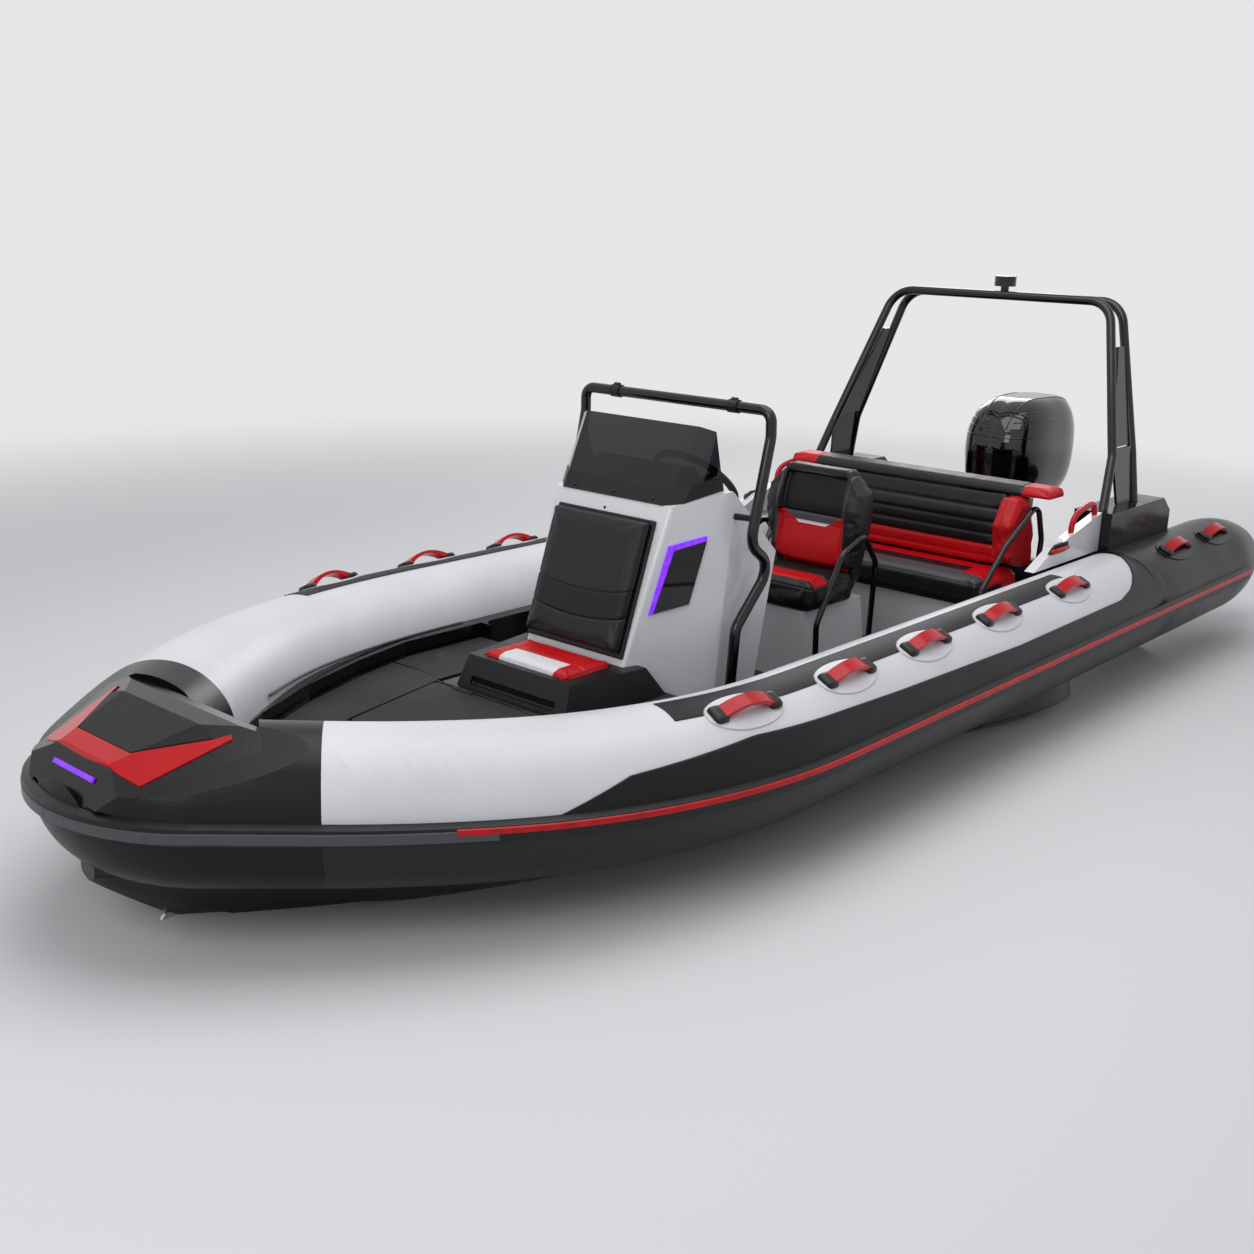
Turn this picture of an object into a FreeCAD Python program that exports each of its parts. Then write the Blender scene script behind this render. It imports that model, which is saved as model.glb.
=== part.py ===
import FreeCAD, Part
import math
import os

# Rigid inflatable boat, 6 m, with console, bench, arch and outboard.
# Millimetres. +X is the bow, +Y is port, +Z is up.
# The origin is on the waterline, on the centre plane, about amidships.

# The bench sets the boat's inside width, and the collar and the hull follow it
BENCH_HALF = 568.0
WELL_Y = BENCH_HALF + 87.0    # half width of the cockpit, past the bench and its rails

# Driving dimensions of the inflated collar
TUBE_R = 229.0            # radius of the side tubes
TUBE_Y = WELL_Y + 285.0   # centre of a side tube from the centre plane
TUBE_Z = 350.0            # centre of a side tube above the water
NOSE_X = 2642.0           # centre of the tube at the nose
NOSE_RISE = 70.0          # how much the tube rises from amidships to the nose
# plan corners of the port half of the centre line, x, y and z, and how far the bend reaches along each side
BENDS = [((1210.0, TUBE_Y, TUBE_Z), 330.0), ((1753.0, TUBE_Y - 163.0, TUBE_Z + 18.0), 225.0),
         ((2136.0, TUBE_Y - 393.0, TUBE_Z + 36.0), 215.0), ((NOSE_X, 133.0, TUBE_Z + NOSE_RISE), 132.0)]
STERN_SEAM_X = -1690.0    # where the black stern length of the tube begins
CONE_X = -2665.0          # where the stern cone begins to taper
CONE_LENGTH = 535.0
CONE_TIP_R = 70.0
SEAT_GAP = 0.6            # free gap between curved pieces that seat on each other
FLAT_GAP = 0.3            # free gap between flat pieces that seat on each other

# Driving dimensions of the rigid hull
KEEL_Z = -318.0
TRANSOM_X = -2250.0
TRANSOM_WALL = 60.0
TRANSOM_TOP_Z = 335.0     # for a long shaft outboard of 635 mm
DEADRISE = 22.0
CHINE_Y = TUBE_Y - 75.0
SOLE_Z = 80.0             # cockpit sole
FOREDECK_Z = 330.0        # raised foredeck
COAMING_Z = 388.0         # top edge of the moulding beside the tube
FOREDECK_AFT_X = 740.0    # riser between foredeck and cockpit
FOREDECK_FWD_X = 2180.0
BENCH_AFT_X = -1640.0     # bulkhead behind the bench
STRAKE_W = 38.0           # width of a moulded spray strake
PAD_T = 6.0               # foam deck pad

# Driving dimensions of the rub strake
RUB_H = 64.0
RUB_T = 24.0
RUB_DROP = -3.0           # centre of the strake below the tube centre
STRIPE_H = 20.0
STRIPE_T = 6.0

# Driving dimensions of the console
CONSOLE_W = 360.0         # half width
CONSOLE_FRONT_LOW = (930.0, 235.0)     # x and half width of the front edge low down
CONSOLE_FRONT_TOP = (700.0, 283.0, 995.0)
CONSOLE_REAR_TOP = (447.0, 1030.0)
CONSOLE_CHEEK = (170.0, 770.0)         # most aft point of the side cheeks
CONSOLE_AFT_X = 262.0
CREASE_X = 467.0          # where the angled front of the side meets the cheek
CONSOLE_WALL = 30.0
CONSOLE_EDGE_R = 16.0

# Driving dimensions of the windscreen
SCREEN_T = 5.0
SCREEN_TOP = (542.0, 305.0, 1272.0)
SCREEN_BACK = (455.0, 0.0, 1030.0)    # a point on the raked aft edge of the side panes
SCREEN_SHOULDER = (520.0, 0.0, 1250.0)    # where the top edge turns down to the aft edge
BAND_T = 3.0
BAND_H = 52.0

# Driving dimensions of tubular rails
RAIL_R = 20.0
RAIL_TOP = (368.0, 450.0, 1322.0)
SEAT_RAIL_R = 12.5

# Driving dimensions of the helm seat and the bench
HELM_X = -520.0           # middle of the seat base
HELM_HALF = 215.0
HELM_CUSHION_Z = 400.0
HELM_CUSHION_T = 130.0
BENCH_TOP_Z = 806.0
BENCH_SEAT_Z = 345.0
BENCH_SEAT_T = 125.0
BENCH_FRONT_X = -1080.0
BENCH_BACK_X = -1420.0

# Driving dimensions of the arch
ARCH_TOP = (-2150.0, 575.0, 1640.0)
ARCH_R = 21.0
ARCH_DEPTH = 130.0
ARCH_FOOT_Y = TUBE_Y - 140.0

# Driving dimensions of the outboard
TILT_X = -2215.0          # tilt tube
TILT_Z = 380.0
STEER_X = -2400.0         # swivel axis
PLATE_Z = -318.0          # cavitation plate
PROP_SHAFT_R = 12.0
PROP_R = 158.0
PROP_Z = -492.0
COWL_LOW_Z = 610.0
COWL_TOP_Z = 1118.0
COWL_WALL = 6.0


def vec(x, y, z):
    return FreeCAD.Vector(x, y, z)


def save(node, shape):
    """Write one sub-part; a node may hold several solids that do not touch."""
    shape = shape.removeSplitter() if shape.ShapeType != "Compound" else shape
    shape.exportStep("parts/" + node + ".step")
    print(node, len(shape.Solids), "solids", round(shape.Volume / 1e6, 3), "litres", shape.isValid())


def mirrored(shape):
    """The same piece on the starboard side."""
    return shape.mirror(vec(0, 0, 0), vec(0, 1, 0))


def both_sides(shape):
    return Part.makeCompound(shape.Solids + mirrored(shape).Solids)


def block(low, high):
    """A box between two corners."""
    size = [b - a for a, b in zip(low, high)]
    return Part.makeBox(size[0], size[1], size[2], vec(*low))


def slab(points, half_width, centre_y=0.0):
    """A side profile of (x, z) points, extruded across the boat."""
    wire = Part.makePolygon([vec(x, centre_y - half_width, z) for x, z in points + points[:1]])
    return Part.Face(wire).extrude(vec(0, 2 * half_width, 0))


def plate(points, low_z, thickness):
    """A plan outline of (x, y) points with a thickness."""
    wire = Part.makePolygon([vec(x, y, low_z) for x, y in points + points[:1]])
    return Part.Face(wire).extrude(vec(0, 0, thickness))


def rounded_plate(points, low_z, thickness, radius):
    """A plan outline whose upright edges are rounded."""
    solid = plate(points, low_z, thickness)
    upright = [e for e in solid.Edges if abs(e.tangentAt(e.FirstParameter).z) > 0.99]
    return solid.makeFillet(radius, upright)


def soft_block(low, high, radius):
    """A box with all its edges rounded, such as a cushion."""
    solid = block(low, high)
    return solid.makeFillet(radius, solid.Edges)


def rounded_slab(points, half_width, radius, centre_y=0.0):
    solid = slab(points, half_width, centre_y)
    return solid.makeFillet(radius, solid.Edges)


def rod(start, end, radius):
    """A round bar from point to point."""
    a, b = vec(*start), vec(*end)
    return Part.makeCylinder(radius, (b - a).Length, a, b - a)


def bent_wire(points, bend):
    """Straight runs between the points, joined by tangent arcs."""
    p = [vec(*q) for q in points]
    edges = []
    start = p[0]
    for i in range(1, len(p) - 1):
        to_prev = (p[i - 1] - p[i]).normalize()
        to_next = (p[i + 1] - p[i]).normalize()
        turn = math.pi - to_prev.getAngle(to_next)
        short = min((p[i - 1] - p[i]).Length, (p[i + 1] - p[i]).Length)
        back = min(bend * math.tan(turn / 2), 0.45 * short)
        radius = back / math.tan(turn / 2)
        enter = p[i] + to_prev * back
        leave = p[i] + to_next * back
        inward = (to_prev + to_next).normalize()
        centre = p[i] + inward * math.hypot(back, radius)
        middle = centre - inward * radius
        edges.append(Part.LineSegment(start, enter).toShape())
        edges.append(Part.Arc(enter, middle, leave).toShape())
        start = leave
    edges.append(Part.LineSegment(start, p[-1]).toShape())
    return Part.Wire(edges)


def bent_tube(points, radius, bend):
    """A round tube bent along the points."""
    path = bent_wire(points, bend)
    first = path.Edges[0]
    along = first.tangentAt(first.FirstParameter)
    ring = Part.Wire(Part.makeCircle(radius, vec(*points[0]), along))
    return path.makePipeShell([ring], True, False)


def section_loft(sections, ruled=False):
    """A solid through closed outlines of points."""
    wires = [Part.makePolygon([vec(*q) for q in s + s[:1]]) for s in sections]
    return Part.makeLoft(wires, True, ruled)


def half_space(point, normal, size=4000.0):
    """Everything on the side of a plane that its normal points to."""
    face = Part.makePlane(2 * size, 2 * size, vec(0, 0, 0), vec(0, 0, 1))
    face.translate(vec(-size, -size, 0))
    solid = face.extrude(vec(0, 0, size))
    turn = FreeCAD.Rotation(vec(0, 0, 1), vec(*normal))
    solid.Placement = FreeCAD.Placement(vec(*point), turn)
    return solid


def tube_path(from_x):
    """Centre line of the collar, from a port station round the nose, in straight runs and tangent arcs."""
    corners = [vec(*corner) for corner, _ in BENDS]
    corners = [vec(from_x, TUBE_Y, TUBE_Z)] + corners
    corners += [vec(p.x, -p.y, p.z) for p in reversed(corners)]
    reaches = [reach for _, reach in BENDS]
    reaches += reaches[::-1]
    edges = []
    last = corners[0]
    for before, corner, after, reach in zip(corners, corners[1:], corners[2:], reaches):
        toward = (corner - before).normalize()
        onward = (after - corner).normalize()
        half_turn = math.acos(toward.dot(onward)) / 2
        radius = reach / math.tan(half_turn)
        start, end = corner - toward * reach, corner + onward * reach
        middle = corner + (onward - toward).normalize() * (radius / math.cos(half_turn) - radius)
        edges.append(Part.LineSegment(last, start).toShape())
        edges.append(Part.Arc(start, middle, end).toShape())
        last = end
    edges.append(Part.LineSegment(last, corners[-1]).toShape())
    return Part.Wire(edges)


def tube_at(x):
    """Centre of the port tube at a station, and its direction there."""
    for edge in tube_path(CONE_X).Edges:
        low, high = edge.FirstParameter, edge.LastParameter
        if not edge.valueAt(low).x <= x <= edge.valueAt(high).x:
            continue
        for _ in range(50):
            middle = (low + high) / 2
            if edge.valueAt(middle).x < x:
                low = middle
            else:
                high = middle
        return edge.valueAt(low), edge.tangentAt(low)


def collar(radius):
    """The whole inflated collar as one body, for what seats against it."""
    ring = Part.Face(Part.Wire(Part.makeCircle(radius, vec(CONE_X, TUBE_Y, TUBE_Z), vec(1, 0, 0))))
    return tube_path(CONE_X).makePipe(ring)


BOW_SEAM_X = 2300.0
STRIPE_FWD_X = 2040.0


def forward_of(x):
    """Everything ahead of a station, with its aft faces square to the tubes there."""
    centre, along = tube_at(x)
    out = vec(-along.y, along.x, 0).normalize()
    outer, inner = centre + out * 500.0, centre - out * 400.0
    plan = [(inner.x, inner.y), (outer.x, outer.y), (4000.0, 2500.0)]
    return plate(plan + [(a, -b) for a, b in reversed(plan)], -600.0, 2000.0)


def stern_cone(radius, grow=0.0):
    """The black stern length of the port tube with its tapered end."""
    body = rod((STERN_SEAM_X - FLAT_GAP, TUBE_Y, TUBE_Z), (CONE_X, TUBE_Y, TUBE_Z), radius)
    rings = []
    steps = 6
    for i in range(steps + 1):
        t = i / steps
        r = CONE_TIP_R + (TUBE_R - CONE_TIP_R) * math.cos(t * math.pi / 2) ** 0.8 + grow
        lift = (TUBE_R - CONE_TIP_R) * 0.10 * t
        rings.append(Part.Wire(Part.makeCircle(
            r, vec(CONE_X - CONE_LENGTH * t, TUBE_Y, TUBE_Z + lift), vec(1, 0, 0))))
    return body.fuse(Part.makeLoft(rings, True, False)).removeSplitter()


def make_tubes():
    whole = collar(TUBE_R)
    side = whole.cut(forward_of(BOW_SEAM_X - FLAT_GAP)).common(block((STERN_SEAM_X, 0, -500), (4000, 3000, 1500)))
    save("tube_port", side)
    save("tube_starboard", mirrored(side))
    nose = whole.common(forward_of(BOW_SEAM_X)).cut(step_prism(STEP_SEAT_Z - FLAT_GAP))
    for point, normal in STEP_SIDES + mirrored_planes(STEP_SIDES):
        nose = nose.cut(half_space(point, normal))
    save("tube_bow", nose)
    cone = stern_cone(TUBE_R)
    save("stern_cone_port", cone)
    save("stern_cone_starboard", mirrored(cone))


def hull_section(x, keel_z, chine_y, chine_z):
    """One station of the hull, with two moulded spray strakes a side."""
    half = []
    y, z = 0.0, keel_z
    slope = (chine_z - keel_z) / chine_y
    for share in (0.34, 0.68):
        y1 = chine_y * share
        half.append((y1, keel_z + slope * y1))
        half.append((y1 + STRAKE_W * chine_y / CHINE_Y, keel_z + slope * y1 - 2.0))
    half.append((chine_y, chine_z))
    half.append((chine_y + 6.0, chine_z + 10.0))
    half.append((chine_y - 30.0 * chine_y / CHINE_Y, COAMING_Z + 20.0))
    ring = [(x, 0.0, keel_z)]
    ring += [(x, a, b) for a, b in half]
    ring += [(x, -a, b) for a, b in reversed(half)]
    return ring


RISE = math.tan(math.radians(DEADRISE))
HULL_STATIONS = [
    # x, keel height, chine half breadth, chine height
    (TRANSOM_X, KEEL_Z, CHINE_Y - 10.0, KEEL_Z + CHINE_Y * RISE),
    (-1200.0, KEEL_Z, CHINE_Y - 4.0, KEEL_Z + CHINE_Y * RISE + 2.0),
    (-200.0, KEEL_Z, CHINE_Y, KEEL_Z + CHINE_Y * RISE + 8.0),
    (700.0, KEEL_Z, CHINE_Y, KEEL_Z + CHINE_Y * RISE + 20.0),
    (1250.0, KEEL_Z + 4.0, CHINE_Y - 27.0, 72.0),
    (1700.0, KEEL_Z + 18.0, CHINE_Y - 153.0, 100.0),
    (2100.0, -242.0, CHINE_Y - 359.0, 138.0),
    (2400.0, -98.0, 300.0, 168.0),
    (2620.0, 58.0, 130.0, 190.0),
    (2790.0, 196.0, 30.0, 212.0),
]


def make_hull():
    outer = section_loft([hull_section(*s) for s in HULL_STATIONS])
    top = half_space((0, 0, COAMING_Z), (0, 0, 1))
    hull = outer.cut(top)
    hull = hull.cut(collar(TUBE_R + SEAT_GAP))
    # cockpit well, foredeck and the well in front of the outboard
    cockpit = rounded_plate([(FOREDECK_AFT_X, -WELL_Y), (FOREDECK_AFT_X, WELL_Y),
                             (BENCH_AFT_X, WELL_Y), (BENCH_AFT_X, -WELL_Y)],
                            SOLE_Z, COAMING_Z, 60.0)
    hull = hull.cut(cockpit)
    hull = hull.cut(foredeck_well(0.0, COAMING_Z))
    splash = rounded_plate([(BENCH_AFT_X - 60.0, -WELL_Y), (BENCH_AFT_X - 60.0, WELL_Y),
                            (TRANSOM_X + TRANSOM_WALL, WELL_Y), (TRANSOM_X + TRANSOM_WALL, -WELL_Y)],
                           SOLE_Z + 60.0, COAMING_Z, 50.0)
    hull = hull.cut(splash)
    notch = slab([(TRANSOM_X - 10.0, TRANSOM_TOP_Z), (TRANSOM_X + TRANSOM_WALL + 10.0, TRANSOM_TOP_Z),
                  (TRANSOM_X + TRANSOM_WALL + 10.0, COAMING_Z + 50.0),
                  (TRANSOM_X - 10.0, COAMING_Z + 50.0)], 330.0)
    hull = hull.cut(notch)
    hull = hull.cut(hatch_cut()).cut(console_pocket())
    solids = sorted(hull.Solids, key=lambda s: s.Volume)
    save("hull", solids[-1])
    return solids[-1]


def foredeck_outline(inset):
    """Plan of the foredeck between the tubes, tapering to the bow step."""
    side = WELL_Y - inset
    outline = [(FOREDECK_AFT_X + inset, side), (1130.0, side), (1400.0, side - 62.0), (1700.0, side - 165.0),
               (1980.0, side - 300.0), (FOREDECK_FWD_X - inset, side - 430.0)]
    return outline + [(x, -y) for x, y in reversed(outline)]


def foredeck_well(inset, height):
    return plate(foredeck_outline(inset), FOREDECK_Z, height)


HATCH_AFT = (1262.0, 330.0)   # station and half width of the lid's aft edge
HATCH_FWD = (1730.0, 222.0)
HATCH_T = 24.0
HATCH_GAP = 5.0
LEDGE = 22.0
BARREL_R = 6.0


def hatch_outline(grow):
    """Plan of the hatch lid, grown or shrunk all round."""
    (ax, ay), (fx, fy) = HATCH_AFT, HATCH_FWD
    return [(ax - grow, -ay - grow), (fx + grow, -fy - grow), (fx + grow, fy + grow), (ax - grow, ay + grow)]


def hatch_cut():
    """The locker under the foredeck hatch, with the ledge that the lid rests on."""
    rim = rounded_plate(hatch_outline(HATCH_GAP), FOREDECK_Z - HATCH_T, HATCH_T + 10.0, 25.0)
    locker = rounded_plate(hatch_outline(-LEDGE), SOLE_Z, FOREDECK_Z, 25.0)
    return rim.fuse(locker)


def make_hatch():
    """The lid, with the two hinge barrels along its aft edge."""
    lid = rounded_plate(hatch_outline(0.0), FOREDECK_Z - HATCH_T + FLAT_GAP, HATCH_T + PAD_T - FLAT_GAP, 20.0)
    hinge_x = HATCH_AFT[0] + BARREL_R
    swing = FOREDECK_Z - HATCH_T + 8.0
    lid = lid.cut(block((HATCH_AFT[0] - 1.0, -HATCH_AFT[1] - 1.0, swing - 20.0),
                        (hinge_x + 2.0, HATCH_AFT[1] + 1.0, swing)))
    for side in (1, -1):
        lid = lid.fuse(rod((hinge_x, side * 130.0, FOREDECK_Z + PAD_T), (hinge_x, side * 230.0, FOREDECK_Z + PAD_T),
                           BARREL_R))
    save("foredeck_hatch", lid)


def make_pads():
    """Foam deck pads on the foredeck and the cockpit sole."""
    pad = plate(foredeck_outline(22.0), FOREDECK_Z + FLAT_GAP, PAD_T)
    pad = pad.cut(plate(hatch_outline(9.0), FOREDECK_Z, 30.0))
    pad = pad.cut(block((0, -345, FOREDECK_Z), (1245.0, 345, FOREDECK_Z + 30)))
    save("foredeck_pad", pad)
    edge = WELL_Y - 62.0
    sole = rounded_plate([(140.0, -edge), (140.0, edge),
                          (BENCH_FRONT_X - 60.0, edge), (BENCH_FRONT_X - 60.0, -edge)],
                         SOLE_Z + FLAT_GAP, PAD_T, 60.0)
    around_seat = block((HELM_X - 250, -HELM_HALF - 20, SOLE_Z), (HELM_X + 230, HELM_HALF + 20, SOLE_Z + 20))
    sole = sole.cut(around_seat)
    for side in (1, -1):
        foot_x, foot_y = BENCH_FRONT_X + 40, side * (BENCH_HALF + SEAT_RAIL_R + 6.0 - 10.0)
        sole = sole.cut(rod((foot_x, foot_y, SOLE_Z - 1), (foot_x, foot_y, SOLE_Z + 20), 22.0))
    save("cockpit_pad", sorted(sole.Solids, key=lambda s: s.Volume)[-1])


def strake_run(inner, outer, low, high):
    """A strip on the outside of the collar, swept along its centre line: its back fits a radius."""
    def back(height):
        return vec(CONE_X, TUBE_Y + math.sqrt(inner ** 2 - height ** 2), TUBE_Z + height)

    rise = [(outer, low + 8.0), (outer, high - 8.0)]
    front = [back(low)] + [vec(CONE_X, TUBE_Y + a, TUBE_Z + b) for a, b in rise] + [back(high)]
    edges = [Part.LineSegment(a, b).toShape() for a, b in zip(front, front[1:])]
    edges.append(Part.Arc(back(high), back((low + high) / 2), back(low)).toShape())
    return tube_path(CONE_X).makePipe(Part.Face(Part.Wire(edges)))


STRAKE_LOW = -RUB_DROP - RUB_H / 2    # its lower edge from the tube's centre
STRAKE_HIGH = -RUB_DROP + RUB_H / 2


def make_rub_strake():
    save("rub_strake", strake_run(TUBE_R + SEAT_GAP, TUBE_R + RUB_T, STRAKE_LOW, STRAKE_HIGH))


STEP_TOP = 632.0          # height of the bow step at the aft edge of its pad
STEP_SEAT_Z = 452.0       # the tube is cut level here under the bow step
STEP_PLAN = [(2854.0, 0.0), (2854.0, 165.0), (2783.0, 262.0), (2650.0, 312.0), (2478.0, 390.0), (2425.0, 300.0),
             (2355.0, 190.0), (2322.0, 0.0)]
STEP_PAD = [(2713.0, 136.0), (2545.0, 262.0)]    # port edge of the pad, from front to back
STEP_LIGHT = (2803.0, 521.0)
STEP_LIGHT_HALF = 104.0
TRIM_T = 4.0


def step_prism(low_z):
    """Everything above a height inside the plan of the bow step."""
    return plate(STEP_PLAN + [(x, -y) for x, y in reversed(STEP_PLAN[1:-1])], low_z, 700.0)


STEP_SIDES = [((2713.0, 153.0, 577.0), (0.36, 0.29, 0.89))]    # its sloping side, which runs out over the tube


def mirrored_planes(planes):
    return [((x, -y, z), (nx, -ny, nz)) for (x, y, z), (nx, ny, nz) in planes]


def bow_moulding(grow):
    """The raised moulding that covers the nose, with every upper face moved out by an allowance."""
    solid = step_prism(COAMING_Z + FLAT_GAP)
    faces = [((2850.0, 0, 464.0), (0.77, 0, 0.64)), ((2778.0, 0, 560.0), (0.295, 0, 0.955)),
             ((2470.0, 0, STEP_TOP + 2.0), (0, 0, 1)), ((2470.0, 0, STEP_TOP + 2.0), (-0.37, 0, 0.93)),
             ((2400.0, 0, 606.0), (-0.60, 0, 0.80))]
    for point, normal in faces + STEP_SIDES + mirrored_planes(STEP_SIDES):
        length = math.sqrt(sum(n * n for n in normal))
        moved = [p + n * grow / length for p, n in zip(point, normal)]
        solid = solid.cut(half_space(moved, normal))
    return solid


def make_bow_step():
    """The moulding on the nose, with its tread pad, chevron trim and light bar."""
    step = bow_moulding(0.0).cut(collar(TUBE_R + SEAT_GAP).cut(step_prism(STEP_SEAT_Z)))
    step = step.cut(strake_run(TUBE_R - 4.0, TUBE_R + RUB_T + SEAT_GAP, STRAKE_LOW - 9.0, STRAKE_HIGH + 9.0))
    solids = sorted(step.Solids, key=lambda s: s.Volume)
    save("bow_step", solids[-1])
    skin = bow_moulding(FLAT_GAP)
    pad = plate(STEP_PAD + [(x, -y) for x, y in reversed(STEP_PAD)], COAMING_Z, 400.0)
    save("bow_step_pad", bow_moulding(PAD_T - 1.0).common(pad).cut(skin))
    (fx, fy), (ax, ay) = STEP_PAD
    half = [(fx + 2, 0.0), (fx + 2, fy + 4), (ax, ay + 5), (ax - 40.0, ay + 26.0), (ax - 34.0, ay + 40.0),
            (fx + 42.0, 246.0), (fx + 60.0, 165.0), (fx + 64.0, 0.0)]
    band = plate(half + [(x, -y) for x, y in reversed(half[1:-1])], COAMING_Z + 90.0, 300.0)
    save("bow_trim", bow_moulding(TRIM_T).common(band).cut(skin))
    x, z = STEP_LIGHT
    save("bow_light", slab([(x + 4.5, z - 5.4), (x - 4.5, z + 5.4), (x + 0.1, z + 9.2), (x + 9.1, z - 1.6)],
                           STEP_LIGHT_HALF).cut(skin))


def on_tube(solid, angle):
    """Turn a piece drawn on top of the port tube outboard by an angle."""
    turned = solid.copy()
    turned.rotate(vec(0, TUBE_Y, TUBE_Z), vec(1, 0, 0), -angle)
    return turned


HANDLE_X = [1195.0, 693.0, 198.0, -335.0, -935.0, -2035.0, -2500.0]
HANDLE_L = 250.0
HANDLE_W = 46.0
HANDLE_RISE = 44.0
HANDLE_T = 13.0
HANDLE_ANGLE = 26.0
PATCH_T = 4.0


def handle_strap():
    """A moulded carrying handle at station 0: an arched strap with two feet."""
    half, inner = HANDLE_L / 2, HANDLE_L / 2 - 34.0
    z = TUBE_Z + TUBE_R + PATCH_T + SEAT_GAP + FLAT_GAP

    def arc(reach, rise):
        return Part.Arc(vec(-reach, 0, z), vec(0, 0, z + rise), vec(reach, 0, z))

    outer = arc(half, HANDLE_RISE)
    under = arc(inner, HANDLE_RISE - HANDLE_T)
    left = Part.LineSegment(vec(-half, 0, z), vec(-inner, 0, z))
    right = Part.LineSegment(vec(inner, 0, z), vec(half, 0, z))
    face = Part.Face(Part.Wire(Part.__sortEdges__([e.toShape() for e in (outer, left, under, right)])))
    solid = face.extrude(vec(0, HANDLE_W, 0))
    solid.translate(vec(0, TUBE_Y - HANDLE_W / 2, 0))
    return on_tube(solid, HANDLE_ANGLE)


def tube_skin(outline, thickness, lift=SEAT_GAP):
    """A thin rubber patch bonded on the tube, cut to an outline drawn through it."""
    return outline.common(collar(TUBE_R + lift + thickness)).cut(collar(TUBE_R + lift))


def at_station(solid, x):
    """Move a piece drawn on the straight tube at station 0 to where it sits on the curved one."""
    centre, along = tube_at(x)
    moved = solid.copy()
    climb = math.degrees(math.atan2(along.z, math.hypot(along.x, along.y)))
    moved.rotate(vec(0, TUBE_Y, TUBE_Z), vec(0, 1, 0), -climb)
    moved.rotate(vec(0, TUBE_Y, TUBE_Z), vec(0, 0, 1), math.degrees(math.atan2(along.y, along.x)))
    moved.translate(centre - vec(0, TUBE_Y, TUBE_Z))
    return moved


def make_handles():
    straps = []
    for x in HANDLE_X:
        straps.append(at_station(handle_strap(), x))
        straps.append(mirrored(straps[-1]))
    save("grab_handles", Part.makeCompound(straps))


def make_console():
    fx, fy = CONSOLE_FRONT_LOW
    tx, ty, tz = CONSOLE_FRONT_TOP
    side = [(fx, SOLE_Z + FLAT_GAP), (fx, FOREDECK_Z), (tx, tz), (CONSOLE_REAR_TOP[0], CONSOLE_REAR_TOP[1]),
            CONSOLE_CHEEK, (CONSOLE_AFT_X, FOREDECK_Z), (CONSOLE_AFT_X + 40.0, SOLE_Z + FLAT_GAP)]
    body = slab(side, CONSOLE_W)
    for sign in (1, -1):
        body = body.cut(half_space(*angled_face(sign)))
    front_edges = [e for e in body.Edges if e.BoundBox.XMin > tx - 5 and abs(e.tangentAt(0).y) < 0.5
                   and e.BoundBox.ZMax > FOREDECK_Z + 50]
    body = body.makeFillet(CONSOLE_EDGE_R, front_edges)
    inside = CONSOLE_W - CONSOLE_WALL
    footwell = slab([(CONSOLE_AFT_X - 200.0, SOLE_Z - 1.0), (fx - 150.0, SOLE_Z - 1.0),
                     (fx - 150.0, FOREDECK_Z), (tx - 10.0, 700.0), (CONSOLE_AFT_X - 200.0, 700.0)], inside)
    for sign in (1, -1):
        point, normal = angled_face(sign)
        back = [p - n * CONSOLE_WALL for p, n in zip(point, normal)]
        footwell = footwell.cut(half_space(back, normal))
    save("console", body.cut(footwell))


def console_pocket():
    """The space that the console's foot takes out of the raised foredeck."""
    aft, front = FOREDECK_AFT_X - 20.0, CONSOLE_FRONT_LOW[0] + FLAT_GAP
    pocket = slab([(aft, SOLE_Z), (front, SOLE_Z), (front, COAMING_Z), (aft, COAMING_Z)], CONSOLE_W + FLAT_GAP)
    for sign in (1, -1):
        point, normal = angled_face(sign)
        pocket = pocket.cut(half_space([p + n * FLAT_GAP for p, n in zip(point, normal)], normal))
    return pocket


def angled_face(sign):
    """The plane of the angled front part of the console's side."""
    fx, fy = CONSOLE_FRONT_LOW
    tx, ty, tz = CONSOLE_FRONT_TOP
    a = vec(fx, sign * fy, FOREDECK_Z)
    b = vec(tx, sign * ty, tz)
    c = vec(CREASE_X, sign * CONSOLE_W, 741.0)
    n = (b - a).cross(c - a).normalize()
    if n.y * sign < 0:
        n = n * -1
    return (a.x, a.y, a.z), (n.x, n.y, n.z)


def make_console_rail():
    x, y, z = RAIL_TOP
    side = [(x, y, z), (366.0, 452.0, 1230.0), (452.0, 448.0, 850.0), (292.0, 428.0, 745.0),
            (468.0, 412.0, 535.0), (500.0, 408.0, SOLE_Z)]
    path = [(a, b, c) for a, b, c in reversed(side)] + [(a, -b, c) for a, b, c in side]
    rail = standing(path, SOLE_Z + FLAT_GAP, RAIL_R, 80.0)
    save("console_rail", rail)


def console_top_z(x):
    """Height of the console's top at a station."""
    tx, ty, tz = CONSOLE_FRONT_TOP
    rx, rz = CONSOLE_REAR_TOP
    return tz + (tx - x) * (rz - tz) / (tx - rx)


def screen_ring(x, half, z, grow):
    """A plan outline of the windscreen: flat front, rounded corners, side panes."""
    side = [(x + grow, half - 30.0), (x - 45.0 + grow * 0.7, half + 20.0 + grow * 0.7),
            (x - 270.0, half + 45.0 + grow)]
    return [(a, b, z) for a, b in side] + [(a, -b, z) for a, b in reversed(side)]


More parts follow.
